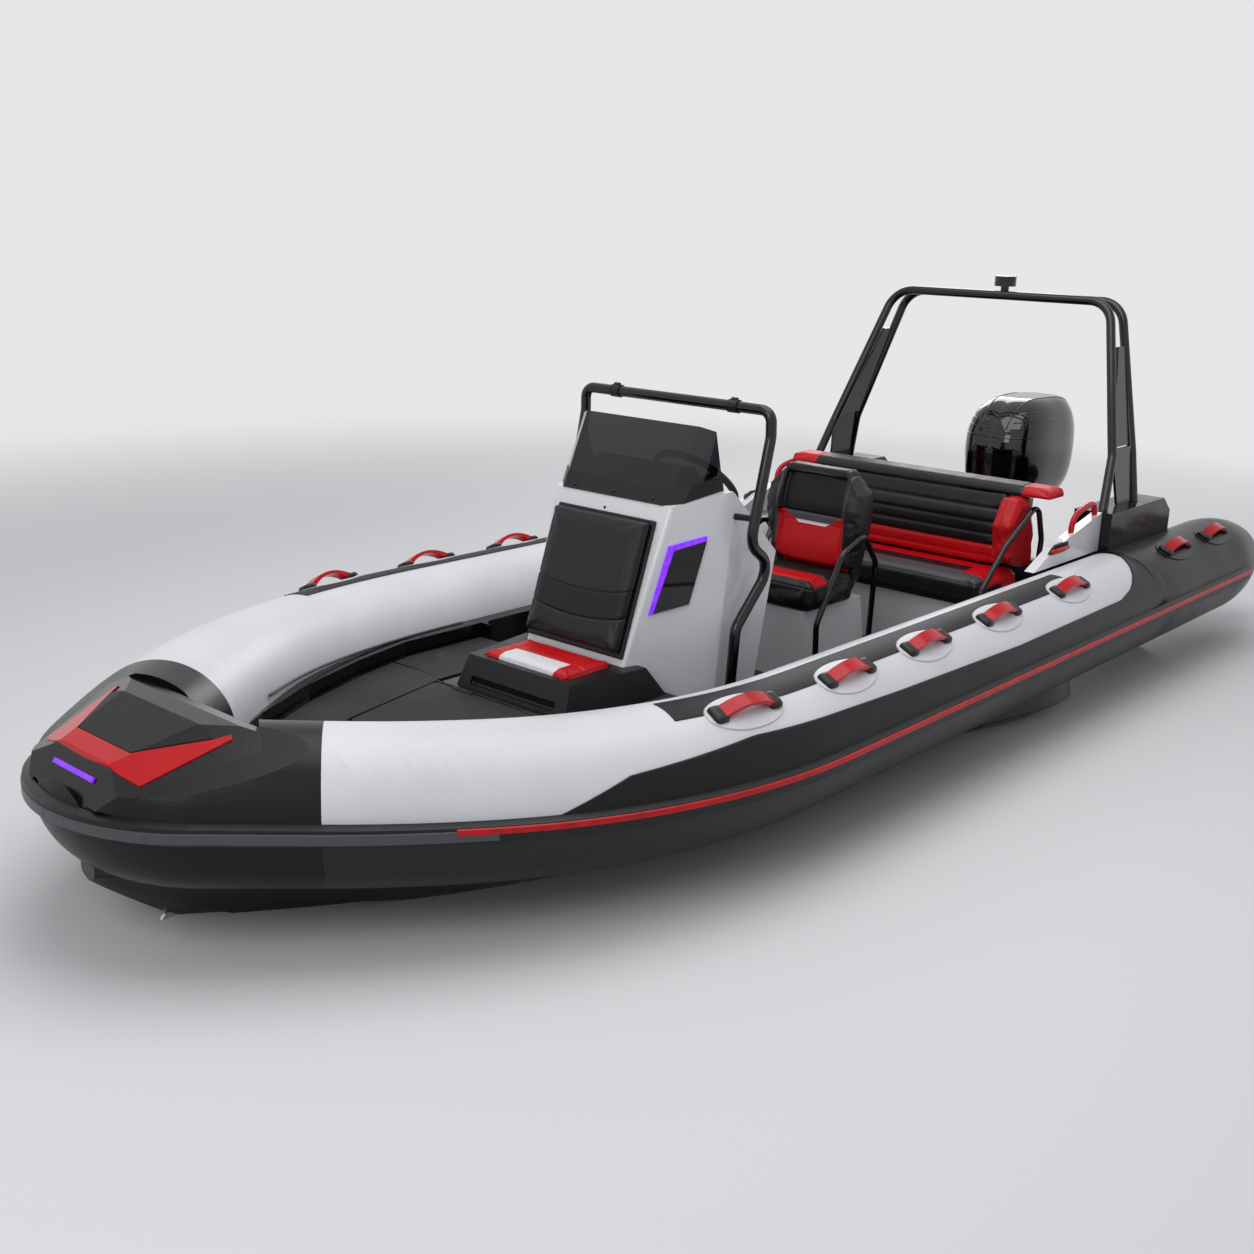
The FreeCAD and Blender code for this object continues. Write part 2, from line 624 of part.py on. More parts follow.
def screen_shell(outside, inside):
    """The windscreen's form between two offsets from its outer face."""
    low_z = CONSOLE_FRONT_TOP[2] - 20.0
    tx, ty, tz = SCREEN_TOP
    low_x = tx + (CONSOLE_FRONT_TOP[0] - tx) * (tz - low_z) / (tz - CONSOLE_FRONT_TOP[2])
    low_half = CONSOLE_FRONT_TOP[1] - 12.0
    outer = section_loft([screen_ring(low_x, low_half, low_z, outside), screen_ring(tx, ty, tz, outside)], True)
    inner = section_loft([screen_ring(low_x, low_half, low_z, inside), screen_ring(tx, ty, tz, inside)], True)
    return outer.cut(inner)


def top_plane(lift):
    """Everything below a plane parallel to the console's top."""
    rx, rz = CONSOLE_REAR_TOP
    tx, ty, tz = CONSOLE_FRONT_TOP
    return half_space((rx, 0, rz + lift), (-(rz - tz), 0, -(tx - rx)))


def make_windscreen():
    """Tinted acrylic screen with raked ends, and the dark clamping band round its foot."""
    back = half_space(SCREEN_BACK, (-0.96, 0, 0.26)).fuse(half_space(SCREEN_SHOULDER, (-0.42, 0, 0.91)))
    save("windscreen", screen_shell(0.0, -SCREEN_T).cut(back).cut(top_plane(FLAT_GAP)))
    band = screen_shell(BAND_T + FLAT_GAP, FLAT_GAP).cut(back).cut(top_plane(FLAT_GAP))
    save("windscreen_band", band.common(top_plane(BAND_H)))


def tube_prism(x, half_length, half_width):
    """An oval punch through the top of the port tube at a station, leaning outboard as the handles do."""
    oval = Part.Ellipse(vec(0, TUBE_Y, 0), half_length, half_width).toShape()
    prism = Part.Face(Part.Wire([oval])).extrude(vec(0, 0, 900.0))
    prism.translate(vec(0, 0, TUBE_Z))
    return at_station(on_tube(prism, HANDLE_ANGLE), x)


def make_patches():
    """Bonded rubber patches under the handles."""
    pads = []
    for x in HANDLE_X:
        pad = tube_skin(tube_prism(x, HANDLE_L / 2 + 32.0, 72.0), PATCH_T)
        pads += [pad, mirrored(pad)]
    save("handle_patches", Part.makeCompound([s for p in pads for s in p.Solids]))


STRIP_AFT = -1010.0
STRIP_FWD = 1440.0
STRIP_LOW = -20.0         # how far outboard of the tube's centre the strip's edges lie
STRIP_HIGH = 92.0


def make_strips():
    """Black chafe strips along the top of both tubes, between the handle patches."""
    low, high = TUBE_R * 0.55, TUBE_R + 60.0
    section = Part.makePolygon([vec(CONE_X, TUBE_Y + y, TUBE_Z + z) for y, z in
                                ((STRIP_LOW, low), (STRIP_HIGH, low), (STRIP_HIGH, high), (STRIP_LOW, high),
                                 (STRIP_LOW, low))])
    outline = tube_path(CONE_X).makePipe(Part.Face(section)).cut(forward_of(STRIP_FWD))
    outline = outline.common(block((STRIP_AFT, 0, 0), (4000, 3000, 1500)))
    skin = tube_skin(outline, 2.5)
    for x in HANDLE_X[:5]:
        skin = skin.cut(tube_prism(x, HANDLE_L / 2 + 36.0, 76.0))
    pieces = [p for p in skin.Solids if p.Volume > 4000.0]
    save("tube_strips", Part.makeCompound(pieces + [mirrored(p) for p in pieces]))


def make_stripe():
    """The red stripe along the upper face of the rub strake."""
    low = TUBE_Z - RUB_DROP + RUB_H / 2 - 30.0
    inner, outer = TUBE_Y + TUBE_R + RUB_T + FLAT_GAP, TUBE_Y + TUBE_R + RUB_T + STRIPE_T
    ring = Part.makePolygon([vec(CONE_X, y, z) for y, z in ((inner, low), (outer, low + 2.0),
                                                           (outer, low + STRIPE_H - 2.0),
                                                           (inner, low + STRIPE_H), (inner, low))])
    run = tube_path(CONE_X).makePipe(Part.Face(ring)).cut(forward_of(STRIPE_FWD_X))
    save("rub_stripe", run)


def side_point(x, z):
    """Half breadth of the console's angled side at a station and height."""
    point, n = angled_face(1)
    return point[1] - (n[0] * (x - point[0]) + n[2] * (z - point[2])) / n[1]


WINDOW_CORNERS = [(712.0, 857.0), (558.0, 879.0), (629.0, 638.0), (792.0, 617.0)]
WINDOW_T = 7.0
LED_W = 17.0


def on_angled_side(corners, out, depth):
    """A flat piece on the console's angled side, from side-view corners."""
    point, n = angled_face(1)
    wire = Part.makePolygon([vec(x + n[0] * out, side_point(x, z) + n[1] * out, z + n[2] * out)
                             for x, z in corners + corners[:1]])
    return Part.Face(wire).extrude(vec(*n) * -depth)


def make_console_trim():
    """Dark side windows and the light strips along their top and fore edges."""
    top_fwd, top_aft, low_aft, low_fwd = WINDOW_CORNERS
    inner_fwd = (top_fwd[0] - LED_W - 4.0, top_fwd[1] - LED_W - 1.0)
    pane = [inner_fwd, (top_aft[0], top_aft[1] - LED_W - 1.0), low_aft, (low_fwd[0] - LED_W, low_fwd[1] + 3.0)]
    save("console_windows", both_sides(on_angled_side(pane, WINDOW_T + FLAT_GAP, WINDOW_T)))
    strip = [top_aft, top_fwd, low_fwd, (pane[3][0] + 1.0, pane[3][1] + 1.0),
             (inner_fwd[0] + 1.0, inner_fwd[1] + 1.0), (pane[1][0], pane[1][1] + 1.0)]
    save("console_lights", both_sides(on_angled_side(strip, WINDOW_T + FLAT_GAP, WINDOW_T)))


BACKREST_T = 38.0
BACKREST_LOW = 478.0
BACKREST_TOP = 925.0
BACKREST_HALF = 225.0


def front_x(z):
    """The console's sloping front at a height."""
    share = (z - FOREDECK_Z) / (CONSOLE_FRONT_TOP[2] - FOREDECK_Z)
    return CONSOLE_FRONT_LOW[0] + share * (CONSOLE_FRONT_TOP[0] - CONSOLE_FRONT_LOW[0])


def make_backrest():
    """The padded backrest for the bow seat, on a moulded frame."""
    lean = math.atan2(front_x(BACKREST_LOW) - front_x(BACKREST_TOP), BACKREST_TOP - BACKREST_LOW)
    nx, nz = math.cos(lean), math.sin(lean)

    def pad(low, high, half, out, thick):
        edge = [(front_x(low) + nx * out, low + nz * out),
                (front_x(low) + nx * (out + thick), low + nz * (out + thick)),
                (front_x(high) + nx * (out + thick), high + nz * (out + thick)),
                (front_x(high) + nx * out, high + nz * out)]
        return edge, half

    frame, half = pad(BACKREST_LOW - 14.0, BACKREST_TOP + 14.0, BACKREST_HALF + 12.0, FLAT_GAP, 14.0)
    save("backrest_frame", rounded_slab(frame, half, 6.0))
    cushion, half = pad(BACKREST_LOW, BACKREST_TOP, BACKREST_HALF, 14.0 + 2 * FLAT_GAP, BACKREST_T)
    save("console_backrest", rounded_slab(cushion, half, 14.0))


def make_dash():
    """The black instrument hood on top of the console, behind the windscreen."""
    def top_z(x):
        return console_top_z(x) + FLAT_GAP

    side = [(640.0, top_z(640.0)), (590.0, top_z(590.0) + 62.0), (505.0, top_z(505.0) + 88.0),
            (462.0, top_z(462.0))]
    save("dash_hood", rounded_slab(side, 235.0, 10.0))


WHEEL_R = 170.0
WHEEL_RIM = 14.0
WHEEL_OUT = 130.0


def dash_frame():
    """Middle of the sloping dash and its outward direction."""
    (ax, az), (bx, bz) = CONSOLE_REAR_TOP, CONSOLE_CHEEK
    length = math.hypot(ax - bx, az - bz)
    middle = ((ax + bx) / 2, (az + bz) / 2)
    return middle, (-(az - bz) / length, (ax - bx) / length)


def make_wheel():
    (mx, mz), (nx, nz) = dash_frame()
    axis = vec(nx, 0, nz)
    centre = vec(mx, 0, mz) + axis * WHEEL_OUT
    rim = Part.makeTorus(WHEEL_R, WHEEL_RIM, centre, axis)
    hub = Part.makeCylinder(34.0, 26.0, centre - axis * 30.0, axis)
    wheel = rim.fuse(hub)
    across = vec(0, 1, 0)
    up = axis.cross(across)
    for angle in (90.0, 210.0, 330.0):
        a = math.radians(angle)
        out = across * math.cos(a) + up * math.sin(a)
        spoke = Part.makeCylinder(11.0, WHEEL_R - 20.0, centre - axis * 16.0 + out * 22.0,
                                  (out * (WHEEL_R - 22.0) + axis * 14.0))
        wheel = wheel.fuse(spoke)
    save("steering_wheel", wheel.removeSplitter())
    boss = Part.makeCylinder(30.0, WHEEL_OUT - 30.0 - 2 * FLAT_GAP, vec(mx, 0, mz) + axis * FLAT_GAP, axis)
    save("wheel_boss", boss)


def make_throttle():
    """Side-mount throttle box with its lever on the starboard half of the dash."""
    (mx, mz), (nx, nz) = dash_frame()
    base = block((-45, -35, FLAT_GAP), (45, 35, 60))
    lever = rod((0, 0, 55), (0, 0, 170), 9.0).fuse(rod((0, -32, 170), (0, 32, 170), 13.0))
    unit = base.fuse(lever)
    unit.rotate(vec(0, 0, 0), vec(0, 1, 0), -math.degrees(math.atan2(-nx, nz)))
    unit.translate(vec(mx, -265.0, mz))
    save("throttle", unit)


BOX_FRONT = 1212.0
BOX_TOP = 440.0
BOX_HALF = 272.0
BOX_AFT = 760.0


def make_bow_seat():
    """The step seat that wraps the front of the console, and its cushion."""
    low_z = FOREDECK_Z + FLAT_GAP
    aft = BOX_AFT
    base = section_loft([
        [(BOX_FRONT, -BOX_HALF, low_z), (BOX_FRONT, BOX_HALF, low_z),
         (aft, BOX_HALF + 66.0, low_z), (aft, -BOX_HALF - 66.0, low_z)],
        [(BOX_FRONT - 44.0, -BOX_HALF + 20.0, BOX_TOP), (BOX_FRONT - 44.0, BOX_HALF - 20.0, BOX_TOP),
         (aft + 75.0, BOX_HALF + 30.0, BOX_TOP), (aft + 75.0, -BOX_HALF - 30.0, BOX_TOP)]], True)
    front = half_space((CONSOLE_FRONT_LOW[0] + FLAT_GAP, 0, FOREDECK_Z),
                       (-(CONSOLE_FRONT_TOP[2] - FOREDECK_Z), 0, CONSOLE_FRONT_TOP[0] - CONSOLE_FRONT_LOW[0]))
    nook = front
    for sign in (1, -1):
        point, normal = angled_face(sign)
        nook = nook.cut(half_space([p + n * FLAT_GAP for p, n in zip(point, normal)], normal))
    base = base.cut(nook)
    low = (front_x(BOX_TOP) + 22.0, -205.0, BOX_TOP - 8.0)
    high = (BOX_FRONT - 72.0, 205.0, BOX_TOP + 22.0)
    recess = block((low[0] - 2, low[1] - 2, low[2]), (high[0] + 2, high[1] + 2, high[2] + 50))
    toe = soft_block((BOX_FRONT - 22.0, -BOX_HALF + 62.0, FOREDECK_Z + 12.0), (BOX_FRONT + 60.0, BOX_HALF - 62.0,
                                                                              FOREDECK_Z + 44.0), 8.0)
    save("bow_seat_base", base.cut(recess).cut(toe))
    save("bow_seat_cushion", soft_block((low[0], low[1], low[2] + FLAT_GAP), high, 10.0))


def make_helm_seat():
    """Jockey seat for the helm: moulded pod, cushion, backrest with side wings and tube rails."""
    low_z = SOLE_Z + FLAT_GAP
    cushion_z = HELM_CUSHION_Z
    rim_z = cushion_z - 2 * FLAT_GAP
    base = section_loft([
        [(HELM_X - 235, -HELM_HALF, low_z), (HELM_X + 175, -HELM_HALF + 20, low_z),
         (HELM_X + 175, HELM_HALF - 20, low_z), (HELM_X - 235, HELM_HALF, low_z)],
        [(HELM_X - 200, -HELM_HALF + 25, rim_z), (HELM_X + 205, -HELM_HALF + 40, rim_z),
         (HELM_X + 205, HELM_HALF - 40, rim_z), (HELM_X - 200, HELM_HALF - 25, rim_z)]], True)
    save("helm_seat_base", base)
    save("helm_seat_cushion", soft_block((HELM_X - 120, -HELM_HALF, cushion_z),
                                         (HELM_X + 225, HELM_HALF, cushion_z + HELM_CUSHION_T), 30.0))
    top = cushion_z + HELM_CUSHION_T
    outline = [(-150.0, cushion_z), (-HELM_HALF + 10, 480.0), (-HELM_HALF - 26, 730.0), (-HELM_HALF - 22, 858.0),
               (-160.0, 956.0), (160.0, 956.0), (HELM_HALF + 22, 858.0), (HELM_HALF + 26, 730.0),
               (HELM_HALF - 10, 480.0), (150.0, cushion_z)]
    wire = Part.makePolygon([vec(HELM_X - 210, y, z) for y, z in outline + outline[:1]])
    back = Part.Face(wire).extrude(vec(210, 0, 0))
    back = back.common(slab([(HELM_X - 122, cushion_z), (HELM_X - 122, top + 10), (HELM_X - 52, top + 14),
                             (HELM_X - 42, 790.0), (HELM_X - 92, 957.0), (HELM_X - 165, 957.0),
                             (HELM_X - 205, 800.0), (HELM_X - 196, cushion_z)], 400.0))
    face = slab([(HELM_X - 84, 745.0), (HELM_X - 84, 790.0), (HELM_X - 118, 925.0), (HELM_X, 925.0), (HELM_X, 745.0)],
                160.0)
    low_face = slab([(HELM_X - 56, top + 10.0), (HELM_X - 84, 720.0), (HELM_X - 84, 746.0), (HELM_X, 746.0),
                     (HELM_X, top + 10.0)], 175.0)
    back = back.cut(face).cut(low_face)
    save("helm_seat_back", back.removeSplitter())


def standing(path, foot_z, radius, bend):
    """A bent tube whose two feet are cut level on a floor."""
    ends = [(p[0], p[1], p[2] - 25.0) for p in (path[0], path[-1])]
    tube = bent_tube([ends[0]] + path[1:-1] + [ends[1]], radius, bend)
    return tube.cut(block((-4000, -2000, foot_z - 400.0), (4000, 2000, foot_z)))


def make_seat_rails():
    """Tubular grab rails beside the helm seat and the bench."""
    y = HELM_HALF + 32.0
    foot = SOLE_Z + 2 * FLAT_GAP + PAD_T
    helm = standing([(HELM_X + 185, y - 10, foot), (HELM_X + 215, y, 360.0), (HELM_X + 60, y + 8, 640.0),
                     (HELM_X - 90, y + 10, 700.0), (HELM_X - 200, y + 8, 560.0), (HELM_X - 190, y, foot)],
                    foot, SEAT_RAIL_R, 60.0)
    y = BENCH_HALF + SEAT_RAIL_R + 6.0
    foot = SOLE_Z + FLAT_GAP
    bench = standing([(BENCH_FRONT_X + 40, y - 10, foot), (BENCH_FRONT_X + 20, y, 430.0),
                      (BENCH_FRONT_X - 130, y + 24, 620.0), (BENCH_BACK_X - 40, y + 34, 780.0),
                      (BENCH_BACK_X - 130, y + 24, 600.0), (BENCH_BACK_X - 140, y, foot)],
                     foot, SEAT_RAIL_R, 60.0)
    save("seat_rails", Part.makeCompound([s for r in (helm, bench) for s in (r, mirrored(r))]))


def make_bench():
    low_z = SOLE_Z + FLAT_GAP
    front = BENCH_FRONT_X
    base_top = BENCH_SEAT_Z - 2 * FLAT_GAP
    base = slab([(front - 72, low_z), (front - 30, base_top), (BENCH_BACK_X - 175, base_top),
                 (BENCH_BACK_X - 175, low_z)], BENCH_HALF - 14.0)
    save("bench_base", base)
    save("bench_cushion", soft_block((BENCH_BACK_X - 40, -BENCH_HALF + 4, BENCH_SEAT_Z),
                                     (front, BENCH_HALF - 4, BENCH_SEAT_Z + BENCH_SEAT_T), 28.0))
    seat_top = BENCH_SEAT_Z + BENCH_SEAT_T
    inner = BENCH_HALF - 70.0
    profile = [(BENCH_BACK_X - 42, BENCH_SEAT_Z), (BENCH_BACK_X - 42, seat_top + 8),
               (BENCH_BACK_X + 30, seat_top + 12), (BENCH_BACK_X + 48, 700.0), (BENCH_BACK_X + 20, BENCH_TOP_Z),
               (BENCH_BACK_X - 60, BENCH_TOP_Z), (BENCH_BACK_X - 130, 640.0), (BENCH_BACK_X - 130, BENCH_SEAT_Z)]
    save("bench_back", rounded_slab(profile, inner, 14.0))
    ends = [(BENCH_BACK_X - 40, BENCH_SEAT_Z + BENCH_SEAT_T + 4), (BENCH_BACK_X + 120, seat_top + 60),
            (BENCH_BACK_X + 135, 690.0), (BENCH_BACK_X + 60, BENCH_TOP_Z), (BENCH_BACK_X - 60, BENCH_TOP_Z),
            (BENCH_BACK_X - 128, 640.0), (BENCH_BACK_X - 128, seat_top + 4)]
    end = rounded_slab(ends, 45.0, 14.0, inner + 45.0 + FLAT_GAP)
    save("bench_ends", both_sides(end))
    base = BENCH_TOP_Z + FLAT_GAP
    roll = rounded_slab([(BENCH_BACK_X + 12, base), (BENCH_BACK_X - 4, base + 42.0),
                         (BENCH_BACK_X - 112, base + 50.0), (BENCH_BACK_X - 140, base + 14.0),
                         (BENCH_BACK_X - 132, base)], 700.0, 10.0)
    save("bench_roll", roll)


BLOCK_AFT = -2370.0
BLOCK_TOP = 735.0
BLOCK_FWD = -1690.0


def make_stern_blocks():
    """Moulded blocks on the stern quarters that carry the arch, and the white side panels."""
    inner_y, outer_y = TUBE_Y - 250.0, TUBE_Y - 70.0
    top = BLOCK_TOP
    side = [(BLOCK_FWD, COAMING_Z + 60), (BLOCK_FWD, top), (BLOCK_AFT + 90, top), (BLOCK_AFT, top - 70),
            (BLOCK_AFT, COAMING_Z + 60)]
    solid = slab(side, (outer_y - inner_y) / 2, (outer_y + inner_y) / 2)
    for tube in (rod((-3000.0, TUBE_Y, TUBE_Z), (0.0, TUBE_Y, TUBE_Z), TUBE_R + SEAT_GAP),):
        solid = solid.cut(tube)
    foot = slab([(BLOCK_FWD, COAMING_Z + FLAT_GAP), (BLOCK_FWD, COAMING_Z + 80), (BLOCK_AFT + 200, COAMING_Z + 80),
                 (BLOCK_AFT + 200, COAMING_Z + FLAT_GAP)], 28.0, WELL_Y + 5.0)
    solid = solid.fuse(foot.cut(rod((-3000.0, TUBE_Y, TUBE_Z), (0.0, TUBE_Y, TUBE_Z), TUBE_R + SEAT_GAP)))
    save("stern_blocks", both_sides(sorted(solid.Solids, key=lambda s: s.Volume)[-1]))
    panel = [(-1060.0, 560.0), (-1250.0, 640.0), (BLOCK_FWD + FLAT_GAP, top), (BLOCK_FWD + FLAT_GAP, 560.0)]
    white = slab(panel, 22.0, ARCH_FOOT_Y)
    white = white.cut(rod((-3000.0, TUBE_Y, TUBE_Z), (0.0, TUBE_Y, TUBE_Z), TUBE_R + SEAT_GAP))
    save("side_panels", both_sides(sorted(white.Solids, key=lambda s: s.Volume)[-1]))


def make_arch():
    """Tubular arch: two hoops side by side, joined by a plate on each leg."""
    x, y, z = ARCH_TOP
    base = BLOCK_TOP + FLAT_GAP

    def hoop(foot_x, knee_x, top_x, top_y, top_z, knee_z):
        side = [(foot_x, ARCH_FOOT_Y, base), (knee_x, 762.0, knee_z), (top_x, top_y, top_z)]
        path = side + [(a, -b, c) for a, b, c in reversed(side)]
        return standing(path, base, ARCH_R, 130.0)

    fore = hoop(-1745.0, -1871.0, x + ARCH_DEPTH / 2, y, z, 965.0)
    aft = hoop(-2090.0, -2085.0, x - ARCH_DEPTH / 2, y, z - 6.0, 965.0)
    arch = fore.fuse(aft)
    for sign in (1, -1):
        web = Part.makePolygon([vec(-1890.0, sign * 755, 1000), vec(-2085.0, sign * 755, 1000),
                                vec(-2195.0, sign * 640, 1440), vec(-2085.0, sign * 640, 1440),
                                vec(-1890.0, sign * 755, 1000)])
        arch = arch.fuse(Part.Face(web).extrude(vec(0, -sign * 14.0, -4.0)))
    for y0 in (-380.0, 0.0, 380.0):
        arch = arch.fuse(rod((x - ARCH_DEPTH / 2, y0, z - 6), (x + ARCH_DEPTH / 2, y0, z), 14.0))
    save("arch", arch.removeSplitter())
    low = z - 3.0 + 14.0 + SEAT_GAP
    lamp = rod((x, 0, low), (x, 0, low + 34.0), 20.0).fuse(rod((x, 0, low + 30.0), (x, 0, low + 78.0), 52.0))
    save("arch_light", lamp.removeSplitter())


EYE_R = 34.0
EYE_T = 12.0
EYE_BORE_R = 12.0
EYE_OUT = 21.0            # from the hull to the middle of the hole
BOW_EYE_X = 2555.0
STERN_EYE = (560.0, 60.0)


def keel_height(x):
    """Height of the stem and keel at a station."""
    for (x0, z0, _, _), (x1, z1, _, _) in zip(HULL_STATIONS, HULL_STATIONS[1:]):
        if x0 <= x <= x1:
            return z0 + (z1 - z0) * (x - x0) / (x1 - x0)


def eye_plate(x, y, z):
    """A welded eye, round ended, with its hole across the boat."""
    ring = rod((x, y - EYE_T / 2, z), (x, y + EYE_T / 2, z), EYE_R)
    return ring.cut(rod((x, y - EYE_T, z), (x, y + EYE_T, z), EYE_BORE_R))


def make_eyes(hull):
    """Towing and lifting eyes: one on the stem, two on the transom."""
    bow = eye_plate(BOW_EYE_X, 0.0, keel_height(BOW_EYE_X) - EYE_OUT - 6.0)
    stern = eye_plate(TRANSOM_X - EYE_OUT, *STERN_EYE)
    eyes = [sorted(eye.cut(hull).Solids, key=lambda s: s.Volume)[-1] for eye in (bow, stern, mirrored(stern))]
    save("tow_eyes", Part.makeCompound(eyes))


def make_outboard():
    # clamp bracket on the transom
    aft = TRANSOM_X - FLAT_GAP
    cheek = slab([(aft, TRANSOM_TOP_Z - 250), (aft, TRANSOM_TOP_Z + 0), (aft + 92, TRANSOM_TOP_Z + FLAT_GAP + 0.0),
                  (aft + 92, TRANSOM_TOP_Z + 50), (TILT_X - 34, TILT_Z + 32), (aft - 44, TILT_Z - 20),
                  (aft - 44, TRANSOM_TOP_Z - 250)], 15.0, 105.0)
    tube = rod((TILT_X, -120, TILT_Z), (TILT_X, 120, TILT_Z), 16.0)
    save("clamp_bracket", cheek.fuse(mirrored(cheek)).fuse(tube))
    # swivel bracket hangs on the tilt tube and holds the steering column
    swivel = rod((TILT_X, -84, TILT_Z), (TILT_X, 84, TILT_Z), 32.0)
    arm = slab([(TILT_X, TILT_Z - 30), (TILT_X, TILT_Z + 30), (STEER_X, TILT_Z + 40), (STEER_X, TILT_Z - 300),
                (STEER_X + 60, TILT_Z - 300), (TRANSOM_X - 40.0, TILT_Z - 90),
                (TRANSOM_X - 10.0, TILT_Z - 30)], 60.0)
    column = rod((STEER_X, 0, TILT_Z - 310), (STEER_X, 0, TILT_Z + 60), 48.0)
    swivel = swivel.fuse(arm).fuse(column).cut(rod((TILT_X, -200, TILT_Z), (TILT_X, 200, TILT_Z), 16.4))
    swivel = swivel.cut(rod((STEER_X, 0, -400), (STEER_X, 0, 900), 24.4))
    save("swivel_bracket", swivel)
    # leg, gearcase, cavitation plate and skeg in one casting, with the steering shaft
    shaft = rod((STEER_X, 0, TILT_Z - 340), (STEER_X, 0, TILT_Z + 90), 24.0)
    leg = section_loft([foil(STEER_X - 250, STEER_X - 60, 70, COWL_LOW_Z - FLAT_GAP),
                        foil(STEER_X - 240, STEER_X - 62, 62, 200),
                        foil(STEER_X - 225, STEER_X - 60, 50, -100), foil(STEER_X - 215, STEER_X - 60, 42, PLATE_Z)])
    yoke_top = block((STEER_X - 120, -60, TILT_Z + 70), (STEER_X + 50, 60, TILT_Z + 105))
    yoke_low = block((STEER_X - 120, -50, TILT_Z - 345), (STEER_X + 45, 50, TILT_Z - 318))
    case_r = 52.0
    torpedo = rod((STEER_X - 250, 0, PROP_Z), (STEER_X + 60, 0, PROP_Z), case_r)
    nose = Part.makeSphere(case_r, vec(STEER_X + 60, 0, PROP_Z))
    lower = section_loft([foil(STEER_X - 220, STEER_X + 20, 40, PLATE_Z + 5),
                          foil(STEER_X - 210, STEER_X + 40, 34, PROP_Z)])
    plate_solid = rounded_plate([(STEER_X - 420, -110), (STEER_X - 420, 110), (STEER_X + 20, 70), (STEER_X + 20, -70)],
                                PLATE_Z - 6, 12.0, 30.0)
    skeg = slab([(STEER_X - 190, PROP_Z - 30), (STEER_X + 30, PROP_Z - 30), (STEER_X - 110, PROP_Z - 235),
                 (STEER_X - 190, PROP_Z - 235)], 7.0)
    prop_shaft = rod((STEER_X - 200, 0, PROP_Z), (STEER_X - 376, 0, PROP_Z), PROP_SHAFT_R)
    leg = leg.fuse([shaft, yoke_top, yoke_low, torpedo, nose, lower, plate_solid, skeg, prop_shaft])
    save("outboard_leg", leg.removeSplitter())
    make_cowl()
    hub = rod((STEER_X - 252, 0, PROP_Z), (STEER_X - 380, 0, PROP_Z), 44.0)
    prop = hub
    for i in range(3):
        blade = propeller_blade()
        blade.rotate(vec(0, 0, PROP_Z), vec(1, 0, 0), 120.0 * i)
        prop = prop.fuse(blade)
    bore = rod((STEER_X - 240, 0, PROP_Z), (STEER_X - 400, 0, PROP_Z), PROP_SHAFT_R + FLAT_GAP)
    save("propeller", prop.cut(bore).removeSplitter())


def foil(aft, fwd, half, z):
    """A streamlined plan section of the leg."""
    return [(fwd, -half * 0.35, z), (fwd, half * 0.35, z), (fwd - (fwd - aft) * 0.25, half, z),
            (fwd - (fwd - aft) * 0.6, half * 0.9, z), (aft, half * 0.2, z), (aft, -half * 0.2, z),
            (fwd - (fwd - aft) * 0.6, -half * 0.9, z), (fwd - (fwd - aft) * 0.25, -half, z)]


def propeller_blade():
    centre_x = STEER_X - 316.0
    sections = []
    for r, chord, twist, thick in ((38.0, 90.0, 62.0, 12.0), (95.0, 135.0, 42.0, 8.0), (150.0, 115.0, 32.0, 5.0),
                                   (PROP_R, 40.0, 28.0, 3.0)):
        a = math.radians(twist)
        c, s = math.cos(a), math.sin(a)
        ring = []
        for u, v in ((-0.5, 0.0), (-0.2, 0.5), (0.25, 0.5), (0.5, 0.0), (0.25, -0.5), (-0.2, -0.5)):
            along, across = u * chord, v * thick
            ring.append((centre_x + along * s + across * c, along * c - across * s, PROP_Z + r))
        sections.append(ring)
    return section_loft(sections, True)


def cowl_ring(z, aft, fwd, half, grow):
    """A plan outline of the cowl with a rounded nose and tail."""
    ring = []
    for i in range(16):
        a = 2 * math.pi * i / 16
        c, s = math.cos(a), math.sin(a)
        u = math.copysign(abs(c) ** 0.62, c)
        v = math.copysign(abs(s) ** 0.62, s)
        middle, reach = (aft + fwd) / 2, (fwd - aft) / 2
        ring.append(vec(middle + u * (reach + grow), v * (half + grow), z))
    curve = Part.BSplineCurve()
    curve.interpolate(Points=ring, PeriodicFlag=True)
    return Part.Wire([curve.toShape()])


COWL_SECTIONS = [
    # height, aft end, forward end, half width
    (COWL_LOW_Z, -2745.0, -2190.0, 150.0),
    (700.0, -2800.0, -2160.0, 195.0),
    (860.0, -2815.0, -2150.0, 212.0),
    (980.0, -2800.0, -2172.0, 205.0),
    (1070.0, -2765.0, -2245.0, 172.0),
    (COWL_TOP_Z, -2685.0, -2370.0, 95.0),
]


def make_cowl():
    outer = Part.makeLoft([cowl_ring(z, a, f, h, 0.0) for z, a, f, h in COWL_SECTIONS], True, False)
    inner = Part.makeLoft([cowl_ring(z - (2 * COWL_WALL if z > 1000 else 0), a, f, h, -COWL_WALL)
                           for z, a, f, h in COWL_SECTIONS], True, False)
    low = block((-3000, -400, COWL_LOW_Z - 50), (-2000, 400, COWL_LOW_Z + COWL_WALL))
    save("cowl", outer.cut(inner.cut(low)))
    save("powerhead", block((-2690.0, -112.0, COWL_LOW_Z + COWL_WALL + FLAT_GAP), (-2290.0, 112.0, 985.0)))


